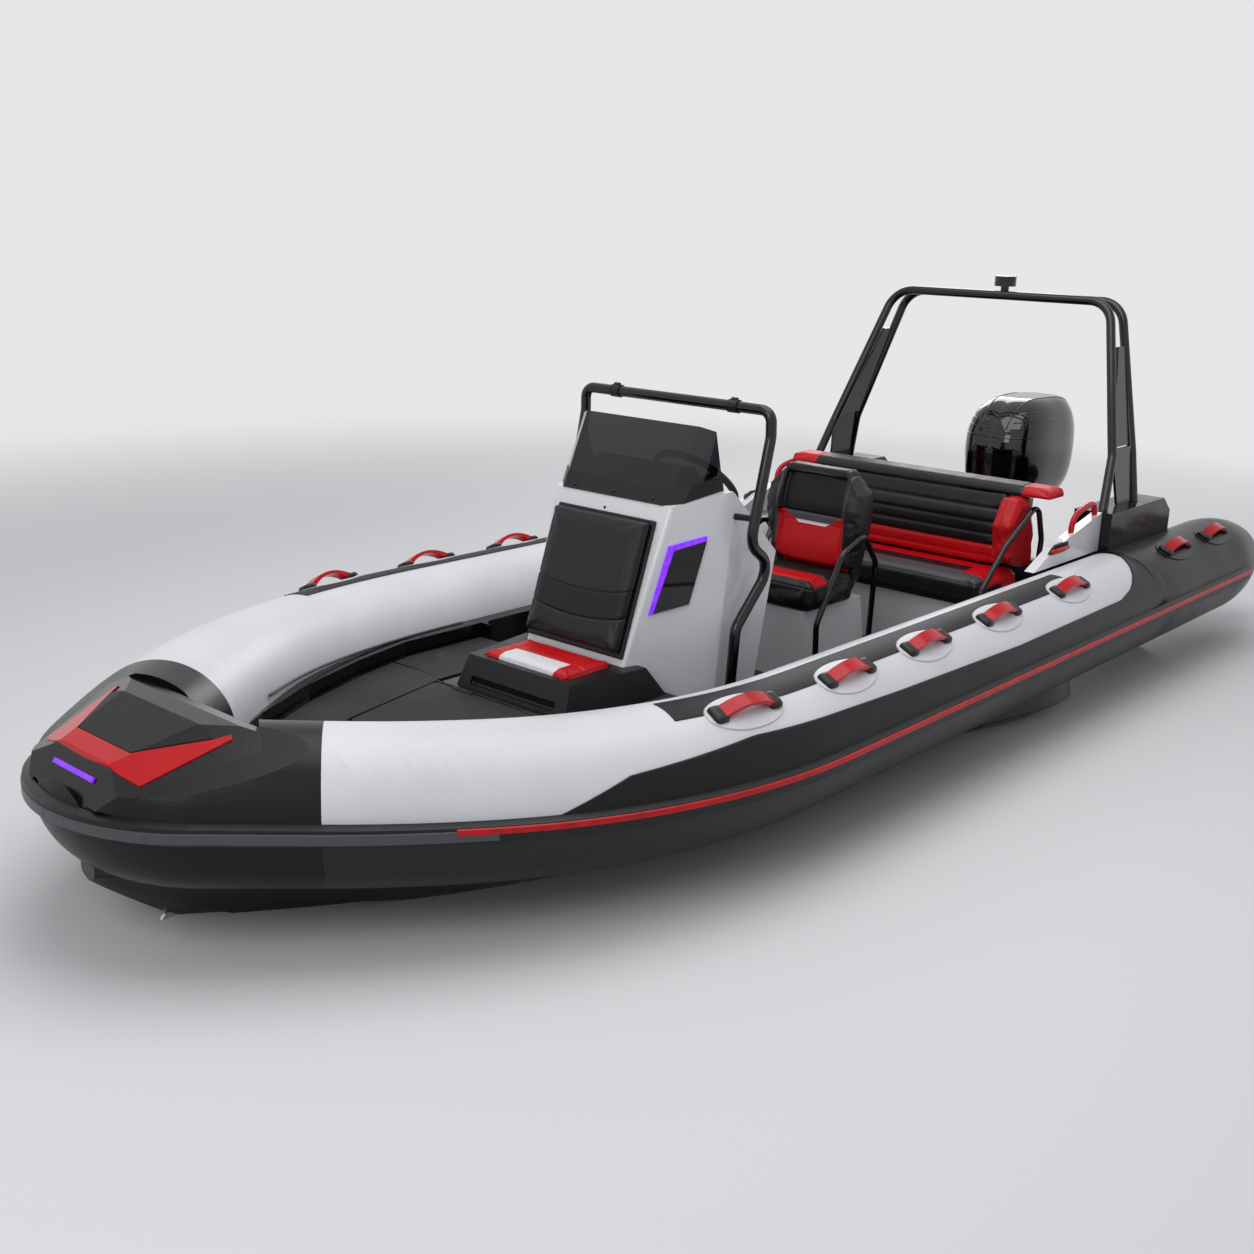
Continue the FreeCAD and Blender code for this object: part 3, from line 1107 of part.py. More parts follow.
os.makedirs("parts", exist_ok=True)
make_tubes()
hull = make_hull()
make_hatch()
make_pads()
make_rub_strake()
make_stripe()
make_bow_step()
make_patches()
make_strips()
make_handles()
make_console()
make_console_trim()
make_backrest()
make_console_rail()
make_windscreen()
make_dash()
make_wheel()
make_throttle()
make_bow_seat()
make_helm_seat()
make_seat_rails()
make_bench()
make_stern_blocks()
make_arch()
make_eyes(hull)
make_outboard()
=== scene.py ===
import math

import bmesh
import bpy
import numpy as np
from mathutils import Matrix, Vector
from mathutils.bvhtree import BVHTree


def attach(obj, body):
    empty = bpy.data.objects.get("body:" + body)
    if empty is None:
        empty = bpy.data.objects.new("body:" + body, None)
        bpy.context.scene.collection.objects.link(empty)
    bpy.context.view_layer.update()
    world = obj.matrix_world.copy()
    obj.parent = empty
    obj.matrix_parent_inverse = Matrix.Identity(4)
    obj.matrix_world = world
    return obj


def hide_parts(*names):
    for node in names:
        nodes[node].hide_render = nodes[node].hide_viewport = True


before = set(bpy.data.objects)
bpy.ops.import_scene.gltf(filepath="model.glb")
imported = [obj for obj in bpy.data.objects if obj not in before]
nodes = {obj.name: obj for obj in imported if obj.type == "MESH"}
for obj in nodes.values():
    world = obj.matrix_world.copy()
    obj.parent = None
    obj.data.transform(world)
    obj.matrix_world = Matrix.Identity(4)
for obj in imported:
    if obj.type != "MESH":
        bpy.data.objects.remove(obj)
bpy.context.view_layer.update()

# Studio. The boat floats at the level of a pale floor, seen off its port bow from a standing eye's
# height. A broad soft lamp hangs over it, with a weaker one by the camera and one behind to part it
# from the backdrop.
EYE = Vector((4.4862, 3.4302, 1.9778))
YAW, PITCH, ROLL = math.radians(41.429), math.radians(16.124), math.radians(1.48)
ahead = -Vector((math.cos(YAW) * math.cos(PITCH), math.sin(YAW) * math.cos(PITCH), math.sin(PITCH)))
level = ahead.cross(Vector((0, 0, 1))).normalized()
upright = level.cross(ahead)
to_right = math.cos(ROLL) * level + math.sin(ROLL) * upright
to_top = -math.sin(ROLL) * level + math.cos(ROLL) * upright
camera = bpy.data.objects.new("camera", bpy.data.cameras.new("camera"))
camera.data.sensor_width = 36.0
camera.data.lens = 41.026
camera.matrix_world = Matrix((
    (to_right.x, to_top.x, -ahead.x, EYE.x),
    (to_right.y, to_top.y, -ahead.y, EYE.y),
    (to_right.z, to_top.z, -ahead.z, EYE.z),
    (0, 0, 0, 1)))
camera.data.clip_end = 200.0
bpy.context.scene.collection.objects.link(camera)
bpy.context.scene.camera = camera
bpy.context.scene.view_settings.view_transform = "Standard"


def linear(code):
    """An sRGB hex colour as linear values."""
    parts = [int(code[i:i + 2], 16) / 255 for i in (1, 3, 5)]
    return [c / 12.92 if c <= 0.04045 else ((c + 0.055) / 1.055) ** 2.4 for c in parts] + [1.0]


def add(tree, kind, inputs=None, **settings):
    """Adds a shader node with its settings; an input is a value, a node's first output, or a socket."""
    made = tree.nodes.new("ShaderNode" + kind)
    for name, value in settings.items():
        setattr(made, name, value)
    for name, value in (inputs or {}).items():
        if isinstance(value, bpy.types.Node):
            value = value.outputs[0]
        if isinstance(value, bpy.types.NodeSocket):
            tree.links.new(value, made.inputs[name])
        else:
            made.inputs[name].default_value = value
    return made


def material_named(name):
    """An empty material and its tree."""
    material = bpy.data.materials.new(name)
    material.use_nodes = True
    material.node_tree.nodes.clear()
    return material, material.node_tree


def located(tree):
    """Where a point lies in the boat's frame, in metres."""
    return add(tree, "TexCoord").outputs["Object"]


def surfaced(tree, sockets):
    """A principled surface with its sockets set."""
    add(tree, "OutputMaterial", {"Surface": add(tree, "BsdfPrincipled", sockets)})


def both(tree, one, other):
    """The product of two values, which joins two masks."""
    return add(tree, "Math", {0: one, 1: other}, operation="MULTIPLY")


def looked_at(tree):
    """1 for rays that meet a thing straight, in a reflection or through glass."""
    path = add(tree, "LightPath")
    direct = add(tree, "Math", {0: path.outputs["Is Camera Ray"], 1: path.outputs["Is Glossy Ray"]},
                 operation="MAXIMUM")
    return add(tree, "Math", {0: direct, 1: path.outputs["Is Transmission Ray"]}, operation="MAXIMUM")


def lamp(name, place, aim, size, power):
    """A square soft lamp."""
    light = bpy.data.lights.new(name, "AREA")
    light.size = size
    light.energy = power
    made = bpy.data.objects.new(name, light)
    made.location = place
    made.rotation_euler = (Vector(aim) - Vector(place)).to_track_quat("-Z", "Y").to_euler()
    bpy.context.scene.collection.objects.link(made)


lamp("overhead_softbox", (0.6, 0.4, 5.2), (0.0, 0.0, 0.0), 5.0, 165.0)
lamp("camera_softbox", (5.6, 1.2, 3.4), (0.6, 0.2, 0.4), 2.4, 60.0)
lamp("stern_softbox", (-5.4, -2.6, 3.2), (-1.2, 0.0, 0.7), 2.6, 70.0)

world = bpy.data.worlds.new("studio")
bpy.context.scene.world = world
world.use_nodes = True
tree = world.node_tree
tree.nodes.clear()
BACKDROP = {"Color": linear("#ECECEE"), "Strength": 0.95}
light = add(tree, "Background", {"Color": linear("#E9EBEE"), "Strength": 0.5})
backdrop = add(tree, "Background", BACKDROP)
mixed = add(tree, "MixShader", {0: looked_at(tree), 1: light, 2: backdrop})
add(tree, "OutputWorld", {"Surface": mixed})

FLOOR_HALF = 60
FADE_FROM, FADE_TO = 3.6, 9.5    # distances over which the floor fades to the backdrop
floor_paint, tree = material_named("matt_studio_floor_paint")
shader = add(tree, "BsdfPrincipled", {"Base Color": linear("#DCDCDE"), "Roughness": 0.85})
reach = add(tree, "VectorMath", {0: located(tree)}, operation="LENGTH").outputs["Value"]
fade = add(tree, "MapRange", {0: reach, 1: FADE_FROM, 2: FADE_TO, 3: 0.0, 4: 1.0},
           interpolation_type="SMOOTHSTEP")
faded = both(tree, fade, looked_at(tree))
backdrop = add(tree, "Emission", BACKDROP)
add(tree, "OutputMaterial", {"Surface": add(tree, "MixShader", {0: faded, 1: shader, 2: backdrop})})
mesh = bpy.data.meshes.new("floor")
corners = [(x * FLOOR_HALF, y * FLOOR_HALF, 0) for x, y in ((-1, -1), (1, -1), (1, 1), (-1, 1))]
mesh.from_pydata(corners, [], [(0, 1, 2, 3)])
mesh.materials.append(floor_paint)
floor = bpy.data.objects.new("floor", mesh)
bpy.context.scene.collection.objects.link(floor)


# Hull and deck moulding. Laid-up glass fibre with black gelcoat, polished from the mould:
# deep gloss with a faint orange-peel wave and duller scuffs.
def dress(names, material):
    """Gives CAD nodes their finish."""
    for name in names:
        for place in nodes[name].material_slots:
            place.material = material


def clouds(tree, place, scale, detail):
    """Noise that varies a surface."""
    return add(tree, "TexNoise", {"Vector": place, "Scale": scale, "Detail": detail})


def grain(tree, place, size, strength, distance):
    """A bump from noise whose lumps have a size in metres."""
    noise = clouds(tree, place, 1 / size, 2.0)
    return add(tree, "Bump", {"Height": noise, "Strength": strength, "Distance": distance})


def ranged(tree, value, low, high, new_low=0.0, new_high=1.0):
    """Stretches a value from one range to another."""
    return add(tree, "MapRange", {0: value, 1: low, 2: high, 3: new_low, 4: new_high})


gelcoat_black, tree = material_named("black_gelcoat")
place = located(tree)
scuffs = clouds(tree, place, 9.0, 5.0)
surfaced(tree, {
    "Base Color": linear("#09090A"), "Roughness": ranged(tree, scuffs, 0.3, 0.7, 0.16, 0.32),
    "Specular IOR Level": 0.35, "Coat Weight": 0.15, "Coat Roughness": 0.08,
    "Normal": grain(tree, place, 0.03, 0.12, 0.001)})
dress(["hull", "stern_blocks"], gelcoat_black)

# Inflated collar. Chambers of coated fabric, white along the sides and black at the bow and stern,
# glued from panels: satin, with the linen of the base cloth just showing and a few creases where it
# bends.
def mottled(tree, value, low, high, one, other):
    """A colour that drifts from one to another as a value crosses a range."""
    return add(tree, "MixRGB", {0: ranged(tree, value, low, high), 1: linear(one), 2: linear(other)})


def below(tree, value, limit):
    """1 where a value is under a limit."""
    return add(tree, "Math", {0: value, 1: limit}, operation="LESS_THAN")


tube_white, tree = material_named("white_pvc_coated_fabric")
place = located(tree)
linen = clouds(tree, place, 260.0, 2.0)
stretched = add(tree, "Mapping", {"Vector": place, "Rotation": (0, 0, 0.6), "Scale": (16.0, 2.5, 2.5)})
folds = add(tree, "TexNoise", {"Vector": stretched, "Scale": 1.6, "Detail": 3.0, "Distortion": 0.4})
parts = add(tree, "SeparateXYZ", {0: place})
folds = both(tree, folds, ranged(tree, parts.outputs["X"], 1.35, 2.25))
weave = add(tree, "Bump", {"Height": linen, "Strength": 0.10, "Distance": 0.0006})
creased = add(tree, "Bump", {"Height": folds, "Strength": 0.5, "Distance": 0.012, "Normal": weave})
cloud = clouds(tree, place, 2.2, 3.0)
tone = mottled(tree, cloud, 0.3, 0.7, "#CFCFD5", "#DADADF")
seam = ranged(tree, parts.outputs["X"], 1.2, 2.2, 0.350, 0.390)
under = below(tree, parts.outputs["Z"], seam)
tone = add(tree, "MixRGB", {0: under, 1: tone, 2: linear("#0D0D0F")})
surfaced(tree, {
    "Base Color": tone, "Roughness": ranged(tree, cloud, 0.3, 0.7, 0.30, 0.40),
    "Specular IOR Level": 0.4, "Normal": creased})
dress(["tube_port", "tube_starboard"], tube_white)

tube_black, tree = material_named("black_pebbled_pvc_fabric")
place = located(tree)
pebbles = add(tree, "TexVoronoi", {"Vector": place, "Scale": 190.0, "Smoothness": 0.6},
              feature="SMOOTH_F1")
pebbled = add(tree, "Bump", {"Height": pebbles, "Strength": 0.22, "Distance": 0.0012}, invert=True)
cloud = clouds(tree, place, 3.0, 3.0)
surfaced(tree, {
    "Base Color": linear("#0D0D0F"), "Roughness": ranged(tree, cloud, 0.3, 0.7, 0.24, 0.38),
    "Specular IOR Level": 0.25, "Normal": pebbled})
dress(["tube_bow", "stern_cone_port", "stern_cone_starboard"], tube_black)

# Bonded bands. Black wear fabric along the outside of each tube over the rub strake, raked at its fore
# end, and ribbed chafe strips on top, where people step aboard. The port tube's centre line turns at
# each corner, within a reach along both sides of it; its nose lies past the last one.
TUBE_R = 0.229
STERN = Vector((-2.665, 0.940, 0.350))
CORNERS = [(Vector((1.210, 0.940, 0.350)), 0.330), (Vector((1.753, 0.777, 0.368)), 0.225),
           (Vector((2.136, 0.547, 0.386)), 0.215), (Vector((2.642, 0.133, 0.420)), 0.132)]
PAST_NOSE = Vector((2.642, -0.133, 0.420))
STRAIGHT_STEP = 0.05
ARC_STEPS = 16


def collar_line():
    """Points along the port half of the collar's centre line and the way it runs, stern to nose."""
    ends = [STERN] + [corner for corner, _ in CORNERS] + [PAST_NOSE]
    points, ways = [ends[0]], [Vector((1, 0, 0))]
    for i, (corner, reach) in enumerate(CORNERS):
        before, after = ends[i], ends[i + 2]
        toward, onward = (corner - before).normalized(), (after - corner).normalized()
        half = toward.angle(onward) / 2
        radius = reach / math.tan(half)
        centre = corner + (onward - toward).normalized() * (radius / math.cos(half))
        start = corner - toward * reach
        runs = round((start - points[-1]).length / STRAIGHT_STEP) if i == 0 else 1
        points += [points[-1].lerp(start, k / runs) for k in range(1, runs + 1)]
        ways += [toward] * runs
        inward = (centre - start).normalized()
        for k in range(1, ARC_STEPS + 1):
            a = 2 * half * k / ARC_STEPS
            points.append(centre + (start - centre) * math.cos(a) + toward * radius * math.sin(a))
            ways.append((toward * math.cos(a) + inward * math.sin(a)).normalized())
            if points[-1].y < 0:
                points[-1].y = 0.0
                return points, ways
    return points, ways


line, heading = collar_line()
line_x = [p.x for p in line]


def station(x):
    """Centre of the port tube at a station, and its direction."""
    i = max(1, min(len(line) - 1, sum(1 for a in line_x if a < x)))
    t = (x - line_x[i - 1]) / max(line_x[i] - line_x[i - 1], 1e-6)
    return line[i - 1].lerp(line[i], t), heading[i - 1].lerp(heading[i], t).normalized()


def on_skin(x, angle, lift=0.0):
    """A point on the port tube at a station; the angle is 0 outboard and 90 on top."""
    centre, way = station(x)
    out = Vector((-way.y, way.x, 0)).normalized()
    above = way.cross(out)
    a = math.radians(angle)
    return centre + (out * math.cos(a) + above * math.sin(a)) * (TUBE_R + lift)


def new_piece(name, verts, faces, material, body="root", smooth=True):
    """A mesh piece in the boat's frame that rides on a body."""
    mesh = bpy.data.meshes.new(name)
    mesh.from_pydata([tuple(v) for v in verts], [], faces)
    mesh.materials.append(material)
    tidy = bmesh.new()
    tidy.from_mesh(mesh)
    bmesh.ops.recalc_face_normals(tidy, faces=tidy.faces)
    tidy.to_mesh(mesh)
    tidy.free()
    if smooth:
        for face in mesh.polygons:
            face.use_smooth = True
    piece = bpy.data.objects.new(name, mesh)
    bpy.context.scene.collection.objects.link(piece)
    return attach(piece, body)


def mirror_verts(verts, faces):
    """The same mesh on both sides of the boat."""
    count = len(verts)
    return (verts + [Vector((v.x, -v.y, v.z)) for v in verts],
            faces + [tuple(i + count for i in reversed(f)) for f in faces])


def skin(stations, low, high, thick, lift=0.0008, across=16):
    """A strip bonded to the tube, from one angle up to another that depends on the station."""
    verts, faces = [], []
    for x in stations:
        top = high(x)
        verts.append(on_skin(x, low, lift))
        verts += [on_skin(x, low + (top - low) * k / across, lift + thick) for k in range(across + 1)]
        verts.append(on_skin(x, top, lift))
    wide = across + 3
    for i in range(len(stations) - 1):
        for k in range(wide - 1):
            faces.append((i * wide + k, i * wide + k + 1, (i + 1) * wide + k + 1, (i + 1) * wide + k))
    faces.append(tuple(range(wide)))
    faces.append(tuple(reversed(range((len(stations) - 1) * wide, len(stations) * wide))))
    return verts, faces


def spaced(first, last, step=0.03):
    """Stations from one x to another."""
    count = max(2, round(abs(last - first) / step) + 1)
    return [first + (last - first) * i / (count - 1) for i in range(count)]


BAND_STATIONS = spaced(1.815, -1.30) + spaced(-1.33, -1.689, 0.012)
BAND_THICK = 0.0022
BAND_BOTTOM = 6.0
BAND_X = (-1.689, -1.632, -1.620, -1.600, -1.571, -1.520, -1.469, -1.410, -1.364, -1.250,
          -0.338, 0.497, 1.226, 1.633, 1.815)
BAND_TOP = (176.0, 176.0, 140.0, 108.0, 80.0, 64.0, 52.0, 43.0, 38.0, 31.5,
            29.6, 34.3, 41.0, 30.3, 9.0)


def band_top(x):
    """The band rises along its raked fore end, runs level, and sweeps up over the tube at the stern."""
    return float(np.interp(x, BAND_X, BAND_TOP))


verts, faces = skin(BAND_STATIONS, BAND_BOTTOM, band_top, BAND_THICK)
side_bands = new_piece("side_bands", *mirror_verts(verts, faces), tube_black)

chafe_black, tree = material_named("black_ribbed_chafe_rubber")
place = located(tree)
ribs = clouds(tree, place, 420.0, 3.0)
rubbed = clouds(tree, place, 7.0, 4.0)
tone = mottled(tree, rubbed, 0.35, 0.75, "#121215", "#1B1B20")
ribbed = add(tree, "Bump", {"Height": ribs, "Strength": 0.2, "Distance": 0.001})
surfaced(tree, {"Base Color": tone, "Roughness": 0.50, "Specular IOR Level": 0.2, "Normal": ribbed})
dress(["tube_strips"], chafe_black)

# Rub strake. A heavy rubber section glued along the collar's widest line, with a red stripe let into it
# from the shoulder aft and a grey one round the bow: matt black, scuffed paler along its edge.
rub_rubber, tree = material_named("extruded_black_rubber")
place = located(tree)
scuffs = clouds(tree, place, 14.0, 6.0)
tone = mottled(tree, scuffs, 0.55, 0.8, "#0C0C0E", "#1C1C1F")
surfaced(tree, {
    "Base Color": tone, "Roughness": 0.38, "Specular IOR Level": 0.35,
    "Normal": grain(tree, place, 0.004, 0.25, 0.0008)})
dress(["rub_strake"], rub_rubber)

red_rubber, tree = material_named("red_rubber_insert")
place = located(tree)
worn = clouds(tree, place, 20.0, 4.0)
tone = mottled(tree, worn, 0.4, 0.8, "#C0040F", "#A0040D")
surfaced(tree, {
    "Base Color": tone, "Roughness": 0.30, "Specular IOR Level": 0.3,
    "Normal": grain(tree, place, 0.006, 0.1, 0.0005)})
dress(["rub_stripe"], red_rubber)

grey_rubber, tree = material_named("grey_rubber_insert")
place = located(tree)
surfaced(tree, {
    "Base Color": linear("#4A4A4E"), "Roughness": 0.38, "Specular IOR Level": 0.35,
    "Normal": grain(tree, place, 0.005, 0.15, 0.0006)})
STRIP_X = 1.95
STRIP_PROFILE = ((0.2525, -0.010), (0.2560, -0.008), (0.2560, 0.020), (0.2525, 0.022))
verts, faces = [], []
bow_line = [(p, w) for p, w in zip(line, heading) if p.x > STRIP_X]
for centre, way in bow_line:
    out = Vector((-way.y, way.x, 0)).normalized()
    for reach, rise in STRIP_PROFILE:
        verts.append(centre + out * reach + Vector((0, 0, rise)))
for i in range(len(bow_line) - 1):
    for k in range(3):
        faces.append((4 * i + k, 4 * i + k + 1, 4 * i + k + 5, 4 * i + k + 4))
faces.append((0, 1, 2, 3))
fender_strip = new_piece("fender_strip", *mirror_verts(verts, faces), grey_rubber, smooth=False)

# Bow step. One glossy black moulding over the nose, with a creased foam tread, a red painted chevron
# round the tread and a light bar of violet diodes behind a diffuser.
step_gel, tree = material_named("black_textured_gelcoat")
place = located(tree)
pebbles = add(tree, "TexVoronoi", {"Vector": place, "Scale": 150.0}, feature="SMOOTH_F1")
pebbled = add(tree, "Bump", {"Height": pebbles, "Strength": 0.18, "Distance": 0.001}, invert=True)
surfaced(tree, {
    "Base Color": linear("#0A0A0C"), "Roughness": 0.24, "Specular IOR Level": 0.28, "Coat Weight": 0.1,
    "Coat Roughness": 0.12, "Normal": pebbled})
dress(["bow_step"], step_gel)

red_paint, tree = material_named("red_polyurethane_paint")
place = located(tree)
flow = clouds(tree, place, 6.0, 2.0)
tone = add(tree, "MixRGB", {0: flow, 1: linear("#AC000A"), 2: linear("#C2020F")})
surfaced(tree, {
    "Base Color": tone, "Roughness": 0.24, "Specular IOR Level": 0.2, "Coat Weight": 0.2,
    "Coat Roughness": 0.06, "Normal": grain(tree, place, 0.02, 0.08, 0.0008)})
dress(["bow_trim", "grab_handles"], red_paint)

violet_light, tree = material_named("violet_diode_diffuser")
place = located(tree)
dots = clouds(tree, place, 60.0, 1.0)
tone = mottled(tree, dots, 0.35, 0.65, "#6A17DC", "#8F35F5")
surfaced(tree, {
    "Base Color": linear("#6A24C8"), "Roughness": 0.35, "Emission Color": tone,
    "Emission Strength": 0.8})
dress(["bow_light", "console_lights"], violet_light)

creased_foam, tree = material_named("creased_eva_foam")
place = located(tree)
bent = clouds(tree, place, 60.0, 3.0)
strayed = add(tree, "MixRGB", {0: 0.12, 1: place, 2: bent.outputs["Color"]})
ridges = add(tree, "TexVoronoi", {"Vector": strayed, "Scale": 95.0}, feature="DISTANCE_TO_EDGE")
wrinkle = add(tree, "Bump", {
    "Height": ranged(tree, ridges, 0.0, 0.22), "Strength": 0.9, "Distance": 0.004})
# Painted shade: the crease grooves are coloured darker than the foam between them.
tone = mottled(tree, ridges, 0.0, 0.3, "#111113", "#2B2B2F")
surfaced(tree, {
    "Base Color": tone, "Roughness": 0.50, "Specular IOR Level": 0.35, "Normal": wrinkle})
dress(["bow_step_pad"], creased_foam)

# Deck pads. Closed-cell foam sheet routed into panels and glued down: dark grey, brushed and lightly
# creased.
deck_foam, tree = material_named("brushed_eva_deck_foam")
place = located(tree)
brushed = clouds(tree, place, 240.0, 3.0)
crease = add(tree, "TexNoise", {
    "Vector": place, "Scale": 11.0, "Detail": 6.0, "Roughness": 0.62, "Distortion": 1.2})
creased = add(tree, "Bump", {
    "Height": ranged(tree, crease, 0.46, 0.54), "Strength": 0.35, "Distance": 0.003})
nap = add(tree, "Bump", {"Height": brushed, "Strength": 0.4, "Distance": 0.0012, "Normal": creased})
worn = clouds(tree, place, 3.5, 5.0)
tone = mottled(tree, worn, 0.35, 0.7, "#161618", "#28282B")
surfaced(tree, {
    "Base Color": tone, "Roughness": 0.62, "Specular IOR Level": 0.3, "Normal": nap})
dress(["foredeck_pad", "cockpit_pad", "foredeck_hatch"], deck_foam)

# Handle patches. Fabric ovals glued under each moulded handle, white on the white tube and black on
# the stern lengths.
patch_fabric, tree = material_named("patch_fabric")
place = located(tree)
along = add(tree, "SeparateXYZ", {0: place}).outputs["X"]
at_stern = below(tree, along, -1.7)
tone = add(tree, "MixRGB", {0: at_stern, 1: linear("#D6D6DA"), 2: linear("#1A1A1D")})
surfaced(tree, {
    "Base Color": tone, "Roughness": 0.42, "Normal": grain(tree, place, 0.004, 0.15, 0.0006)})
dress(["handle_patches"], patch_fabric)

# Handle feet. Black moulded nylon boxes that clamp each end of a red strap to its patch.
nylon, tree = material_named("black_glass_filled_nylon")
place = located(tree)
surfaced(tree, {
    "Base Color": linear("#0F0F11"), "Roughness": 0.36, "Specular IOR Level": 0.35,
    "Normal": grain(tree, place, 0.002, 0.3, 0.0006)})
HANDLE_X = [1.195, 0.693, 0.198, -0.335, -0.935, -2.035, -2.500]
LEAN = math.radians(26.0)
PATCH_THICK = 0.005
FOOT_REACH = 0.112     # from a handle's middle to the middle of a foot
FOOT_RINGS = ((0.0, 0.027, 0.034), (0.009, 0.025, 0.032), (0.015, 0.021, 0.028), (0.016, 0.013, 0.020))
FOOT_AROUND = 16
FOOT_BEND = 0.45       # power that squares an ellipse: 1 leaves it round


def on_handle(x, along, across, up):
    """A point in a handle's own directions, leaning outboard on the tube."""
    centre, way = station(x)
    flat = Vector((way.x, way.y, 0)).normalized()
    out = Vector((-flat.y, flat.x, 0))
    lifted = TUBE_R + PATCH_THICK + up
    rise = Vector((0, 0, lifted * math.cos(LEAN) - across * math.sin(LEAN)))
    return centre + flat * along + out * (across * math.cos(LEAN) + lifted * math.sin(LEAN)) + rise


def lofted(rings):
    """A closed skin through rings of as many points each, with flat ends."""
    around = len(rings[0])
    verts, faces = [point for ring in rings for point in ring], []
    for j in range(len(rings) - 1):
        for k in range(around):
            n = (k + 1) % around
            faces.append((j * around + k, j * around + n, (j + 1) * around + n, (j + 1) * around + k))
    faces.append(tuple(reversed(range(around))))
    faces.append(tuple(range((len(rings) - 1) * around, len(rings) * around)))
    return verts, faces


def gathered(parts):
    """Several meshes as one."""
    verts, faces = [], []
    for more_verts, more_faces in parts:
        faces += [tuple(i + len(verts) for i in face) for face in more_faces]
        verts += more_verts
    return verts, faces


def squared(value):
    """A cosine or sine bent toward the corners of its square."""
    return math.copysign(abs(value) ** FOOT_BEND, value)


FOOT_SHAPE = [(squared(math.cos(a)), squared(math.sin(a)))
              for a in (2 * math.pi * k / FOOT_AROUND for k in range(FOOT_AROUND))]
feet = []
for x in HANDLE_X:
    for end in (-FOOT_REACH, FOOT_REACH):
        rings = []
        for up, half_long, half_wide in FOOT_RINGS:
            rings.append([on_handle(x, end + u * half_long, v * half_wide, up) for u, v in FOOT_SHAPE])
        feet.append(lofted(rings))
handle_feet = new_piece("handle_feet", *mirror_verts(*gathered(feet)), nylon)

# Console. White gelcoat moulding, polished, with dark glazed side lockers edged by violet light strips.
gelcoat_white, tree = material_named("white_gelcoat")
place = located(tree)
cloud = clouds(tree, place, 4.0, 3.0)
tone = add(tree, "MixRGB", {0: cloud, 1: linear("#DADADE"), 2: linear("#E4E4E7")})
surfaced(tree, {
    "Base Color": tone, "Roughness": 0.22, "Coat Weight": 0.6, "Coat Roughness": 0.06,
    "Normal": grain(tree, place, 0.05, 0.15, 0.0015)})
dress(["console", "side_panels", "bench_base", "helm_seat_base"], gelcoat_white)

smoked_glass, tree = material_named("smoked_glass_pane")
place = located(tree)
haze = clouds(tree, place, 9.0, 4.0)
tone = mottled(tree, haze, 0.45, 0.75, "#060607", "#131316")
surfaced(tree, {"Base Color": tone, "Roughness": 0.05, "Specular IOR Level": 0.5})
dress(["console_windows"], smoked_glass)

# Windscreen. Smoked acrylic sheet bent round the console's top, clamped under a black band.
smoked_acrylic, tree = material_named("smoked_acrylic")
surfaced(tree, {
    "Base Color": linear("#2C2C31"), "Roughness": 0.02, "IOR": 1.49, "Transmission Weight": 1.0})
dress(["windscreen"], smoked_acrylic)

moulded_black, tree = material_named("black_moulded_abs")
place = located(tree)
cloud = clouds(tree, place, 12.0, 3.0)
surfaced(tree, {
    "Base Color": linear("#0F0F11"), "Roughness": ranged(tree, cloud, 0.3, 0.7, 0.34, 0.46),
    "Specular IOR Level": 0.35, "Normal": grain(tree, place, 0.003, 0.3, 0.0008)})
dress(["windscreen_band", "dash_hood", "throttle", "wheel_boss", "steering_wheel", "backrest_frame",
       "bow_seat_base"], moulded_black)

# Tube work. Stainless rails and arch, bent and welded, then powder coated in gloss black.
powder_black, tree = material_named("gloss_black_powder_coat")
place = located(tree)
surfaced(tree, {
    "Base Color": linear("#08080A"), "Roughness": 0.18, "Specular IOR Level": 0.4, "Coat Weight": 0.2,
    "Coat Roughness": 0.08, "Normal": grain(tree, place, 0.006, 0.10, 0.0006)})
dress(["console_rail", "seat_rails", "arch", "arch_light"], powder_black)


def swept(points, radius, around=12):
    """A round bar along points."""
    points = [Vector(p) for p in points]
    rings = []
    side = (points[1] - points[0]).orthogonal()
    for i, point in enumerate(points):
        way = (points[min(i + 1, len(points) - 1)] - points[max(i - 1, 0)]).normalized()
        side = (side - way * side.dot(way)).normalized()
        other = way.cross(side)
        rings.append([point + (side * math.cos(a) + other * math.sin(a)) * radius
                      for a in (2 * math.pi * k / around for k in range(around))])
    return lofted(rings)


def athwart(x, y, z, half, radius, around):
    """A round bar laid across the boat, one on each side of it."""
    return [swept([(x, y - half, z), (x, y + half, z)], radius, around) for y in (y, -y)]


# Fittings. A stay and its foot hold each leg of the console rail, and a clamp with its bolt
# sits at each corner of the rail's top.
STAY_X = 0.431
STAY = ((0.327, 0.935), (0.452, 0.943))
STAY_FOOT = ((0.322, 0.9345), (0.338, 0.9355))
CLAMP_X, CLAMP_Y, CLAMP_Z, BOLT_Z = 0.368, 0.285, 1.3222, 1.346
fittings = athwart(CLAMP_X, CLAMP_Y, CLAMP_Z, 0.022, 0.0245, 24)
fittings += athwart(CLAMP_X, CLAMP_Y, BOLT_Z, 0.012, 0.008, 12)
for side in (1, -1):
    fittings.append(swept([(STAY_X, side * y, z) for y, z in STAY], 0.012))
    fittings.append(swept([(STAY_X, side * y, z) for y, z in STAY_FOOT], 0.030, 24))
rail_fittings = new_piece("rail_fittings", *gathered(fittings), moulded_black, smooth=False)

